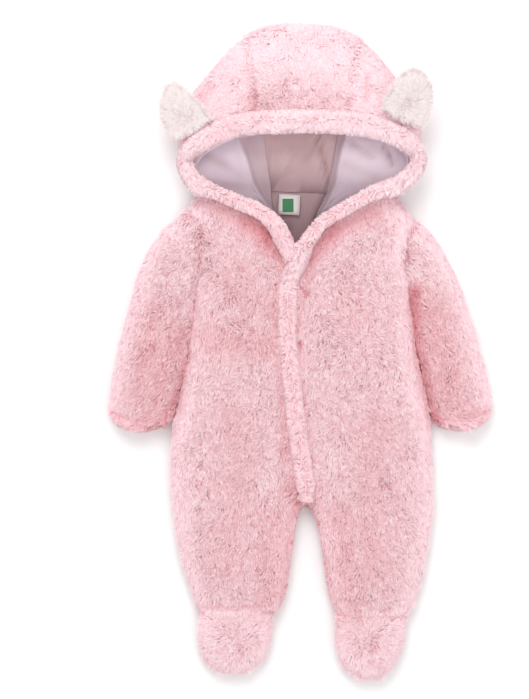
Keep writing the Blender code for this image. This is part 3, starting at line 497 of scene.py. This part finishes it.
def narrowed(points):
    """Draw the outer side of the bands in, and the fleece beside them after it."""
    x, y = points[:, 0] / MM, points[:, 1] / MM
    shift = np.zeros_like(points)
    for line in NARROWINGS:
        dx, dy = line.x2 - line.x1, line.y2 - line.y1
        length = np.hypot(dx, dy)
        t = ((x - line.x1) * dx + (y - line.y1) * dy) / length ** 2
        out = ((x - line.x1) * dy - (y - line.y1) * dx) / length
        by = np.interp(t, (-line.fade1, 0, 1, 1 + line.fade2), (0, line.by1, line.by2, 0))
        by *= np.clip((out + BAND_INSIDE) / (BAND_WIDTH + BAND_INSIDE), 0, 1)
        by *= 1 - step(out, BAND_WIDTH, BAND_GIVE)
        shift += by[:, None] * (-dy / length, dx / length, 0)
    return points + shift * MM * step(points[:, 2:], BAND_LEVEL, BAND_LEVEL)


def cover_of(node, mesh, skin):
    """How much pile each face of a piece has: none where it is hidden or rests on the table."""
    centres, normals = face_arrays(mesh)
    skin_normals, opening, distance = skin.nearest(centres)
    cover = step(opening, *COVER_OPEN)
    cover[(distance > COVER_DEPTH) | (along(normals, skin_normals)[:, 0] < COVER_TURN)] = 0
    cover[(centres[:, 2] < CLOSE_TO_FLOOR) | (normals[:, 2] < UNDERSIDE)] = 0
    if node == "back_panel":
        cover[normals[:, 2] > BACK_INSIDE] = 0
    return cover


# ---------------------------------------------------------------- pile
def scatter(points, normals, faces, cover, per_area, rng):
    """Random roots on the faces, as dense as each face's cover says."""
    quads = np.array([face if len(face) == 4 else (*face, face[-1]) for face in faces])
    triangles = np.concatenate([quads[:, [0, 1, 2]], quads[:, [0, 2, 3]]])
    a, b, c = (points[triangles[:, i]] for i in range(3))
    weights = np.linalg.norm(np.cross(b - a, c - a), axis=1) / 2 * np.tile(cover, 2)
    count = int(per_area * weights.sum())
    picks = rng.choice(len(triangles), count, p=weights / weights.sum())
    u, v = rng.random((2, count, 1))
    over = u + v > 1
    u, v = np.where(over, 1 - u, u), np.where(over, 1 - v, v)
    at = triangles[picks]
    roots = points[at[:, 0]] * (1 - u - v) + points[at[:, 1]] * u + points[at[:, 2]] * v
    facing = normals[at[:, 0]] * (1 - u - v) + normals[at[:, 1]] * u + normals[at[:, 2]] * v
    return roots, unit(facing)


def tufts(roots, locks_each, rng):
    """For each lock, the lock in the middle of its tuft."""
    middles = rng.choice(len(roots), max(len(roots) // locks_each, 1), replace=False)
    tree = KDTree(len(middles))
    for index in middles:
        tree.insert(roots[index], int(index))
    tree.balance()
    return np.array([tree.find(root)[1] for root in roots])


def nap_of(node, roots, normals):
    """Which way the pile lies before it swirls: down the garment, and outwards on bands, feet and ears."""
    nap = np.zeros_like(roots)
    nap[:] = (0, NAP_DOWN, NAP_FALL)
    nap[:, 0] = roots[:, 0] * NAP_SPREAD
    from_middle = (roots - roots.mean(axis=0))[:, :2]
    side = np.sign(roots[0, 0])
    if node.startswith("sleeve"):
        nap[:, 0] += side * NAP_SLEEVE
    elif node in BAND_NODES:
        nap[:] = normals * NAP_BAND_OUT + NAP_BAND
    elif node.startswith("foot_upper"):
        nap[:, :2] = from_middle * NAP_FOOT_OUT + NAP_FOOT
    elif node.startswith("hood_"):
        nap[:, 0] = roots[:, 0] * NAP_HOOD_SPREAD
        nap[:, 1] = NAP_HOOD_DOWN
    elif node.startswith("ear"):
        nap[:, :2] = from_middle * NAP_EAR_OUT + (side * NAP_EAR[0], NAP_EAR[1])
        nap[:, 2] = 0
    nap[:, 2] -= NAP_STEEP * (1 - normals[:, 2]) * (normals[:, 2] < 1)
    return nap


def curl_of(node, roots, normals, skin):
    """How curled the pile is, 0 to 1: brushed smooth towards the edges and on the hood's crown, where the
    locks are also painted paler as a painted highlight.
    """
    x, y = roots[:, 0] / MM, roots[:, 1] / MM
    if node in BAND_NODES:
        return BAND_CURL + BAND_SIDE_CURL * step((BAND_TOP - normals[:, 2]) / BAND_TURN)
    if node.startswith("hood_"):
        spot = FOREHEAD_CURLS
        away = np.hypot((x - spot.x) / spot.radius_x, (y - spot.y) / spot.radius_y)
        return FOREHEAD_CURL * np.exp(-away ** 3)
    curl = step(skin.from_edge(roots), EDGE_SMOOTH, EDGE_CURLED - EDGE_SMOOTH)
    if node.startswith("foot"):
        curl *= FOOT_CURL
    for strip in BRUSHED_STRIPS:
        away = to_segment(x, y, strip) / strip.half_width
        curl *= 1 - (1 - strip.share) * np.exp(-away * away)
    return curl


def shortening(roots):
    """The pile's length and rise, less where it is worn short."""
    x, y = roots[:, 0] / MM, roots[:, 1] / MM
    share = np.ones(len(roots))
    for strip in SHORT_STRIPS:
        away = to_segment(x, y, strip) / strip.half_width
        share = np.minimum(share, strip.share + (1 - strip.share) * step(1 + SHORT_EDGE * (away - 1)))
    for dimple in DIMPLES:
        share = np.minimum(share, 1 - DIMPLE_WORN * dimpled(x, y, dimple))
    return share[:, None]


def painted_shade_of(roots):
    """How much deep pink painted shade each lock has, 0 to 1: along the shaded lines and in the dimples.
    """
    x, y = roots[:, 0] / MM, roots[:, 1] / MM
    painted_shade = np.zeros(len(roots))
    for line in PAINTED_SHADE_LINES:
        away = to_segment(x, y, line) / line.half_width
        painted_shade = np.maximum(painted_shade, line.share * np.exp(-away * away))
    for dimple in DIMPLES:
        painted_shade = np.maximum(painted_shade, dimpled(x, y, dimple, 4))
    return painted_shade


def wound(faces, vertices, outward):
    """The faces' corners in a row, each face wound so that it faces outward."""
    a, b, c = (vertices[faces[:, i]] for i in (0, 1, 2))
    turned = (np.cross(b - a, c - b) * outward).sum(axis=1) < 0
    faces[turned] = faces[turned][:, ::-1]
    return faces.reshape(-1)


def locks(node, roots, normals, pile, skin, seed):
    """One mesh of curved, tapering locks that rise from their roots and lie over along the nap."""
    rng = np.random.default_rng(seed)
    count = len(roots)
    share = curl_of(node, roots, normals, skin)[:, None]
    curl = pile.curl * share
    flow = nap_of(node, roots, normals)
    swirl = sum(strength * noise(roots, scale, key) for strength, scale, key in SWIRLS)
    flow += pile.swirl * (SMOOTH_SWIRL + (1 - SMOOTH_SWIRL) * curl) * swirl
    flow += (STRAY[0] + STRAY[1] * curl) * rng.normal(size=(count, 3))
    flow = unit(flow - normals * along(flow, normals))
    side = np.cross(normals, flow)
    worn = shortening(roots)
    length = pile.length * worn * rng.uniform(*LENGTH_RANGE, (count, 1))
    rise = pile.rise * worn * rng.uniform(*RISE_RANGE, (count, 1))
    rise *= SMOOTH_RISE + (1 - SMOOTH_RISE) * share
    sway = length * rng.normal(0, SWAY, (count, 1))
    roll = rng.normal(0, ROLL, (count, 1))
    half = pile.width / 2 * rng.uniform(*WIDTH_RANGE, (count, 1))
    leader = tufts(roots, pile.tuft, rng)
    gather = GATHER[0] + GATHER[1] * curl
    tone = rng.normal(0, 1, count)
    tone = TONE_OWN * tone + TONE_TUFT * tone[leader]

    stations = range(len(LOCK_STATIONS))
    centres = [roots + flow * length * LOCK_STATIONS[i] + normals * rise * LOCK_HEIGHTS[i]
               + side * sway * LOCK_SWAYS[i] for i in stations]
    centres = [centre + (centre[leader] - centre) * gather * LOCK_GATHERS[i]
               for i, centre in zip(stations, centres)]
    wide = unit(np.cross(normals, centres[-1] - centres[0]))
    wide = unit(wide * np.cos(roll) + normals * np.sin(roll))
    vertices, facing = [], []
    for i in stations:
        ahead = unit(centres[min(i + 1, len(centres) - 1)] - centres[max(i - 1, 0)])
        upward = unit(SHADE_NORMAL * normals + SHADE_LOCK * unit(np.cross(ahead, wide)))
        if LOCK_WIDTHS[i] == 0:
            vertices.append(centres[i])
            facing.append(upward)
        else:
            for hand in (-1, 1):
                vertices.append(centres[i] + wide * half * LOCK_WIDTHS[i] * hand)
                facing.append(unit(upward + SHADE_SIDE * hand * wide))
    each = len(vertices)
    vertices = np.stack(vertices, axis=1).reshape(-1, 3)
    facing = np.stack(facing, axis=1).reshape(-1, 3)
    vertices[:, 2] = np.maximum(vertices[:, 2], FLOOR_CLEARANCE)

    first = np.arange(count)[:, None] * each
    outward = normals + (0, 0, OUTWARD_UP)
    quads = wound(first + (1, 0, 2, 3), vertices, outward)
    tips = wound(first + (3, 2, 4), vertices, outward)
    mesh = bpy.data.meshes.new(node + "_pile")
    mesh.vertices.add(len(vertices))
    mesh.vertices.foreach_set("co", vertices.reshape(-1))
    mesh.loops.add(len(quads) + len(tips))
    mesh.loops.foreach_set("vertex_index", np.concatenate([quads, tips]))
    mesh.polygons.add(count * 2)
    mesh.polygons.foreach_set("loop_start", np.concatenate(
        [np.arange(count) * 4, count * 4 + np.arange(count) * 3]))
    mesh.update(calc_edges=True)
    mesh.validate()
    piece = make_object(node + "_pile", mesh, LOOKS[pile.look])
    mesh.normals_split_custom_set_from_vertices(facing)
    # to the shader: each lock's tone, how smooth it is (its paler colour partly a painted highlight), its
    # painted shade, and its place along the lock
    for name, values in (("lock_tone", np.repeat(tone, each)),
                         ("lock_smooth_and_lit", np.repeat(1 - share[:, 0], each)),
                         ("lock_painted_shade", np.repeat(painted_shade_of(roots), each)),
                         ("lock_reach", np.tile(np.repeat(LOCK_STATIONS, (2, 2, 1)), count))):
        mesh.attributes.new(name, "FLOAT", "POINT").data.foreach_set("value", values)
    return piece


def fleece_piece(node, pile, skin, seed):
    """The cloth base of one piece and the pile on it."""
    mesh = subdivided(node)
    cover = cover_of(node, mesh, skin)
    points, _, _ = arrays(mesh)
    lined = node == "back_panel" or node.startswith("hood_")
    points = drawn_ends(node, draw_in(points, skin, pile.inset, LINED_LAP if lined else SEAM_LAP))
    move_points(mesh, points if node == "back_panel" else narrowed(points))
    points, normals, faces = arrays(mesh)
    base = make_object(node + "_cloth", mesh, LOOKS[pile.slot])
    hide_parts(node)
    rng = np.random.default_rng(seed)
    roots, facing = scatter(points, normals, faces, cover, PILE_PER_M2 * pile.density, rng)
    fur = locks(node, roots, facing, pile, skin, seed)


# ---------------------------------------------------------------- materials
class Shader:
    """A Principled material and short ways to build its nodes."""

    def __init__(self, name, colour, roughness, **sockets):
        self.material = bpy.data.materials.new(name)
        self.material.use_nodes = True
        self.tree = self.material.node_tree
        self.surface = self.tree.nodes["Principled BSDF"]
        self.set(self.surface, "Base Color", (*colour, 1))
        self.set(self.surface, "Roughness", roughness)
        for key, value in sockets.items():
            self.set(self.surface, key.replace("_", " "), value)

    def set(self, node, socket, value):
        """Link a node's socket to another, or give it a value of its own."""
        if isinstance(value, bpy.types.NodeSocket):
            self.tree.links.new(value, node.inputs[socket])
        else:
            node.inputs[socket].default_value = value

    def node(self, kind, properties=None, **sockets):
        """A new node, with its properties and sockets set."""
        made = self.tree.nodes.new(kind)
        for key, value in (properties or {}).items():
            setattr(made, key, value)
        for key, value in sockets.items():
            self.set(made, key.replace("_", " "), value)
        return made

    def place(self):
        return self.node("ShaderNodeTexCoord").outputs["Object"]

    def attribute(self, name):
        return self.node("ShaderNodeAttribute", {"attribute_name": name}).outputs["Fac"]

    def ramp(self, value, *stops):
        """A colour for each value, between stops of a position and a colour."""
        made = self.node("ShaderNodeValToRGB")
        self.set(made, "Fac", value)
        elements = made.color_ramp.elements
        for element, (position, colour) in zip(elements, (stops[0], stops[-1])):
            element.position = position
            element.color = (*colour, 1)
        for position, colour in stops[1:-1]:
            elements.new(position).color = (*colour, 1)
        return made.outputs["Color"]

    def mix(self, how, amount, first, second):
        made = self.node("ShaderNodeMix", {"data_type": "RGBA", "blend_type": how})
        self.set(made, 0, amount)
        self.set(made, 6, first)
        self.set(made, 7, second)
        return made.outputs[2]

    def math(self, how, first, second):
        made = self.node("ShaderNodeMath", {"operation": how})
        self.set(made, 0, first)
        self.set(made, 1, second)
        return made.outputs[0]

    def bump(self, height, distance, strength=1.0):
        made = self.node("ShaderNodeBump")
        self.set(made, "Height", height)
        self.set(made, "Distance", distance)
        self.set(made, "Strength", strength)
        self.set(self.surface, "Normal", made.outputs["Normal"])


def pile_look(name, curled, smooth, painted_shade_row, sheen):
    """Locks painted darker at the root as painted shade, each a little unlike the next; paler where
    brushed smooth, partly a painted highlight; and deep pink in painted shade.
    """
    # painted glow: the locks give off their deep root pink, standing in for light passed between them
    look = Shader(name, curled[1], 0.85, Sheen_Weight=sheen, Sheen_Roughness=0.5,
                  Emission_Color=(*curled[0], 1), Emission_Strength=PAINTED_GLOW)
    look.set(look.surface, "Sheen Tint", (1, 0.82, 0.86, 1))
    tone = look.math("MULTIPLY", look.attribute("lock_tone"), TONE_SHIFT)
    reach = look.math("ADD", look.attribute("lock_reach"), tone)
    colours = [look.ramp(reach, (0.0, deep), (0.45, middle), (1.0, tip))
               for deep, middle, tip in (curled, smooth, painted_shade_row)]
    colour = look.mix("MIX", look.attribute("lock_smooth_and_lit"), *colours[:2])
    colour = look.mix("MIX", look.attribute("lock_painted_shade"), colour, colours[2])
    patches = look.node("ShaderNodeTexNoise", Vector=look.place(), Scale=26.0, Detail=2.0)
    colour = look.mix("MULTIPLY", 0.3, colour,
                      look.ramp(patches.outputs["Fac"], (0.3, (0.95, 0.88, 0.89)), (0.7, (1, 1, 1))))
    look.set(look.surface, "Base Color", colour)
    return look.material


def cloth_look(name, colour, dark):
    """The knitted ground under the pile."""
    # painted glow: the cloth gives off its own pink, standing in for light passed on through the pile
    look = Shader(name, colour, 0.9, Sheen_Weight=0.2, Emission_Color=(*colour, 1), Emission_Strength=PAINTED_GLOW)
    grain = look.node("ShaderNodeTexNoise", Vector=look.place(), Scale=420.0, Detail=4.0)
    look.set(look.surface, "Base Color", look.ramp(grain.outputs["Fac"], (0.3, dark), (0.75, colour)))
    look.bump(grain.outputs["Fac"], 0.0012)
    return look.material


def jersey_look(name, colour, shade):
    """Brushed jersey: fine wales, a faint nap, slow changes of tone, painted shade in its folds and beside
    the wings, and painted shade darker down in the neck.
    """
    look = Shader(name, colour, 0.72, Sheen_Weight=0.35, Sheen_Roughness=0.4)
    place = look.place()
    wales = look.node("ShaderNodeTexWave", {"wave_type": "BANDS", "bands_direction": "X"},
                      Vector=place, Scale=260.0, Distortion=1.2, Detail=1.0)
    fuzz = look.node("ShaderNodeTexNoise", Vector=place, Scale=700.0, Detail=3.0)
    slow = look.node("ShaderNodeTexNoise", Vector=place, Scale=30.0, Detail=2.0)
    tone = look.ramp(slow.outputs["Fac"], (0.35, shade), (0.7, colour))
    tone = look.mix("MULTIPLY", look.attribute("fold_shade"), tone, (0.82, 0.74, 0.72, 1))
    up = look.node("ShaderNodeSeparateXYZ", Vector=place).outputs["Y"]
    up = look.math("MULTIPLY", look.math("SUBTRACT", up, NECK_SHADE[0]), 1 / NECK_SHADE[1])
    tone = look.mix("MULTIPLY", 1.0, tone, look.ramp(
        up, (0.0, (0.36, 0.33, 0.34)), (0.45, (0.48, 0.45, 0.46)), (0.75, (0.80, 0.80, 0.80)),
        (1.0, (1, 1, 1))))
    look.set(look.surface, "Base Color", look.mix("MULTIPLY", 0.25, tone, look.ramp(
        wales.outputs["Fac"], (0.0, (0.86, 0.84, 0.86)), (1.0, (1, 1, 1)))))
    look.bump(look.math("ADD", wales.outputs["Fac"], fuzz.outputs["Fac"]), 0.00012)
    return look.material


def label_look():
    """Woven tape: a white ground painted greyish pink as painted shade, and a plain green block in its
    middle.
    """
    look = Shader("label_tape", (0.85, 0.83, 0.8), 0.6, Sheen_Weight=0.15)
    place = look.place()
    weave = look.node("ShaderNodeTexWave", {"wave_type": "BANDS", "bands_direction": "DIAGONAL"},
                      Vector=place, Scale=520.0, Distortion=0.4)
    x, y, _ = look.node("ShaderNodeSeparateXYZ", Vector=place).outputs
    inside = None
    for value, middle, half in ((x, LABEL_PATCH[0], LABEL_PATCH[2]), (y, LABEL_PATCH[1], LABEL_PATCH[3])):
        away = look.math("ABSOLUTE", look.math("SUBTRACT", value, middle), 0)
        within = look.math("LESS_THAN", away, half)
        inside = within if inside is None else look.math("MULTIPLY", inside, within)
    # the tape's ground is white, given a greyish pink here as painted shade
    colour = look.mix("MIX", inside, (0.62, 0.56, 0.56, 1), (0.03, 0.17, 0.065, 1))
    look.set(look.surface, "Base Color", look.mix("MULTIPLY", 0.3, colour, look.ramp(
        weave.outputs["Fac"], (0.0, (0.75, 0.75, 0.75)), (1.0, (1, 1, 1)))))
    look.bump(weave.outputs["Fac"], 0.0001)
    return look.material


# each pile has three rows of colours, from a root darkened as painted shade to the tip: curled, brushed
# smooth and painted paler as a highlight, and deep pink painted shade
LOOKS = {
    "fleece": cloth_look("fleece", (0.92, 0.60, 0.64), (0.86, 0.50, 0.54)),
    "band": cloth_look("band", (0.95, 0.70, 0.74), (0.9, 0.60, 0.64)),
    "ear_plush": cloth_look("ear_plush", (0.86, 0.8, 0.78), (0.78, 0.68, 0.67)),
    "fleece_pile": pile_look(
        "fleece_pile", ((0.62, 0.29, 0.33), (0.80, 0.53, 0.57), (0.93, 0.80, 0.82)),
        ((0.905, 0.62, 0.66), (0.935, 0.695, 0.74), (0.955, 0.78, 0.825)),
        ((0.45, 0.12, 0.145), (0.66, 0.24, 0.265), (0.83, 0.42, 0.445)), 0.3),
    "band_pile": pile_look(
        "band_pile", ((0.74, 0.40, 0.44), (0.86, 0.62, 0.66), (0.93, 0.80, 0.83)),
        ((0.84, 0.58, 0.62), (0.90, 0.71, 0.75), (0.94, 0.82, 0.86)),
        ((0.80, 0.38, 0.42), (0.92, 0.58, 0.62), (0.97, 0.74, 0.77)), 0.35),
    "ear_pile": pile_look(
        "ear_pile", ((0.62, 0.51, 0.50), (0.745, 0.66, 0.65), (0.83, 0.77, 0.76)),
        ((0.68, 0.575, 0.565), (0.775, 0.70, 0.69), (0.835, 0.775, 0.765)),
        ((0.64, 0.50, 0.50), (0.74, 0.62, 0.62), (0.82, 0.73, 0.73)), 0.2),
    "side_lining": jersey_look("side_lining", (0.95, 0.80, 0.89), (0.89, 0.73, 0.83)),
    "centre_lining": jersey_look("centre_lining", (0.80, 0.57, 0.59), (0.73, 0.50, 0.52)),
    "label_tape": label_look(),
}


# ---------------------------------------------------------------- pieces
def make_fleece():
    """Body, sleeves, feet, hood and bands under one skin, so that seams stay closed, and the ears."""
    around = tree_of(NODES)
    linings = tree_of(LINING_NODES)
    bands = tree_of(BAND_NODES)
    skin = Skin([*FLEECE_NODES, *BAND_NODES], SKIN_VOXEL, SKIN_SMOOTHING, linings, bands, around)
    for seed, (node, pile) in enumerate(FLEECE_NODES.items()):
        fleece_piece(node, PILES[pile], skin, FLEECE_SEED + seed)
    for seed, node in enumerate(BAND_NODES):
        fleece_piece(node, PILES["band"], skin, BAND_SEED + seed)
    for side in ("left", "right"):
        ear = (f"ear_front_{side}", f"ear_back_{side}")
        skin = Skin(ear, EAR_VOXEL, EAR_SMOOTHING, linings, bands, around)
        for seed, node in enumerate(ear):
            fleece_piece(node, PILES[EAR_NODES[node]], skin, EAR_SEED + seed)


def wing_step(x, y, width, lead):
    """How far the side linings have stepped up at each place, for a step of one width."""
    rows = sorted(WING_FOLD)
    levels = [row.y for row in rows]
    fold = np.where(x < 0, -np.interp(y, levels, [row.left for row in rows]),
                    np.interp(y, levels, [row.right for row in rows]))
    return step((np.abs(x) - fold + lead) / width)


def wing_fold(x, y):
    """How far the wings are raised, in mm, and how shaded they are: their fold is made sharp."""
    middle, half = WING_OVAL[1], (WING_OVAL[0], WING_OVAL[2])
    rim = step(np.hypot(x / half[0], (y - middle) / half[1]), *WING_RIM)
    low = 1 - step(y, *WING_END)
    sharp = wing_step(x, y, WING_STEP, WING_LEAD)
    solid = wing_step(x, y, SOLID_WING_STEP, SOLID_WING_LEAD)
    return WING_RISE * (sharp - solid) * (1 - rim) * low, (1 - sharp) * low


def lapped(node, points, y):
    """Run the middle and back linings on under their neighbours."""
    middle = points[:, 0].mean()
    aside = points[:, 0] - middle
    points[:, 0] += np.sign(aside) * LINING_LAP * MM * step(np.abs(aside) / MM, 0, LAP_OVER)
    points[:, 2] -= LAP_DROP * MM
    if node == "back_lining":
        points[:, 1] += LINING_LAP * MM * step(y, *BACK_LAP)
        points[:, 2] -= LAP_DROP * MM


def tucked(points, band):
    """Run a lining on under the band, the further the closer to it."""
    near = np.array([band.find_nearest(Vector(point))[3] for point in points]) / MM
    outward = unit(points * (1, 1, 0) - LINING_MIDDLE)
    return points + outward * (TUCK * MM * np.maximum(1 - near / TUCK_REACH, 0))[:, None]


def make_linings():
    """Jersey over the solids' form, with soft creases and with the wings' folds as sharp as real ones."""
    band = tree_of(("hood_rim",))
    for node in LINING_NODES:
        wing = node in WING_TIPS
        mesh = subdivided(node)
        points, _, _ = arrays(mesh)
        x, y, z = (points / MM).T
        folds = troughs(x, y, LINING_FOLDS)
        lift = (LINING_LIFT - folds) * (1 - step(z, *RISEN))
        raised, shade = wing_fold(x, y) if wing else (0, 0)
        points[:, 2] += (lift + raised) * MM
        if wing:
            tip = WING_TIPS[node]
            points += np.clip((tip.from_y - y) / tip.over, 0, 1)[:, None] * np.array(tip[2:5]) * MM
        else:
            lapped(node, points, y)
        move_points(mesh, tucked(points, band))
        mesh.attributes.new("fold_shade", "FLOAT", "POINT").data.foreach_set(
            "value", np.minimum(shade + FOLD_SHADE * np.abs(folds), 1))
        look = LOOKS["side_lining" if wing else "centre_lining"]
        piece = make_object(node + "_jersey", mesh, look)
        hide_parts(node)


def make_label():
    """The label's tape, raised with the lining that it lies on."""
    mesh = subdivided("label")
    points, _, _ = arrays(mesh)
    move_points(mesh, points + (0, 0, LINING_LIFT * MM))
    piece = make_object("label_tape", mesh, LOOKS["label_tape"])
    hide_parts("label")


# ---------------------------------------------------------------- stage
def make_stage():
    """A pale floor, an even sky and two soft lamps."""
    bpy.ops.mesh.primitive_plane_add(size=FLOOR_SIZE)
    floor = bpy.context.object
    floor.name = "floor"
    floor.data.materials.append(Shader("floor", FLOOR_COLOUR, FLOOR_ROUGHNESS).material)
    world = bpy.data.worlds.new("studio")
    bpy.context.scene.world = world
    world.use_nodes = True
    sky = world.node_tree.nodes["Background"]
    sky.inputs["Color"].default_value = (1, 1, 1, 1)
    sky.inputs["Strength"].default_value = WORLD_STRENGTH
    for name, lamp in LAMPS.items():
        light = bpy.data.lights.new(name, "AREA")
        light.size = lamp.size
        light.energy = lamp.power
        holder = bpy.data.objects.new(name, light)
        bpy.context.collection.objects.link(holder)
        holder.location = lamp.place
        holder.rotation_euler = (-Vector(lamp.place)).to_track_quat("-Z", "Y").to_euler()


def make_camera():
    """Straight above the garment, far enough off that it shows no perspective."""
    data = bpy.data.cameras.new("camera")
    data.sensor_width = SENSOR
    data.lens = SENSOR * CAMERA_DISTANCE / VIEW_HEIGHT
    data.clip_end = SEEN_TO
    camera = bpy.data.objects.new("camera", data)
    bpy.context.collection.objects.link(camera)
    camera.location = (*VIEW_CENTRE, VIEW_LEVEL + CAMERA_DISTANCE)
    bpy.context.scene.camera = camera


make_camera()
make_stage()
make_fleece()
make_linings()
make_label()
bpy.context.scene.view_settings.view_transform = "Standard"
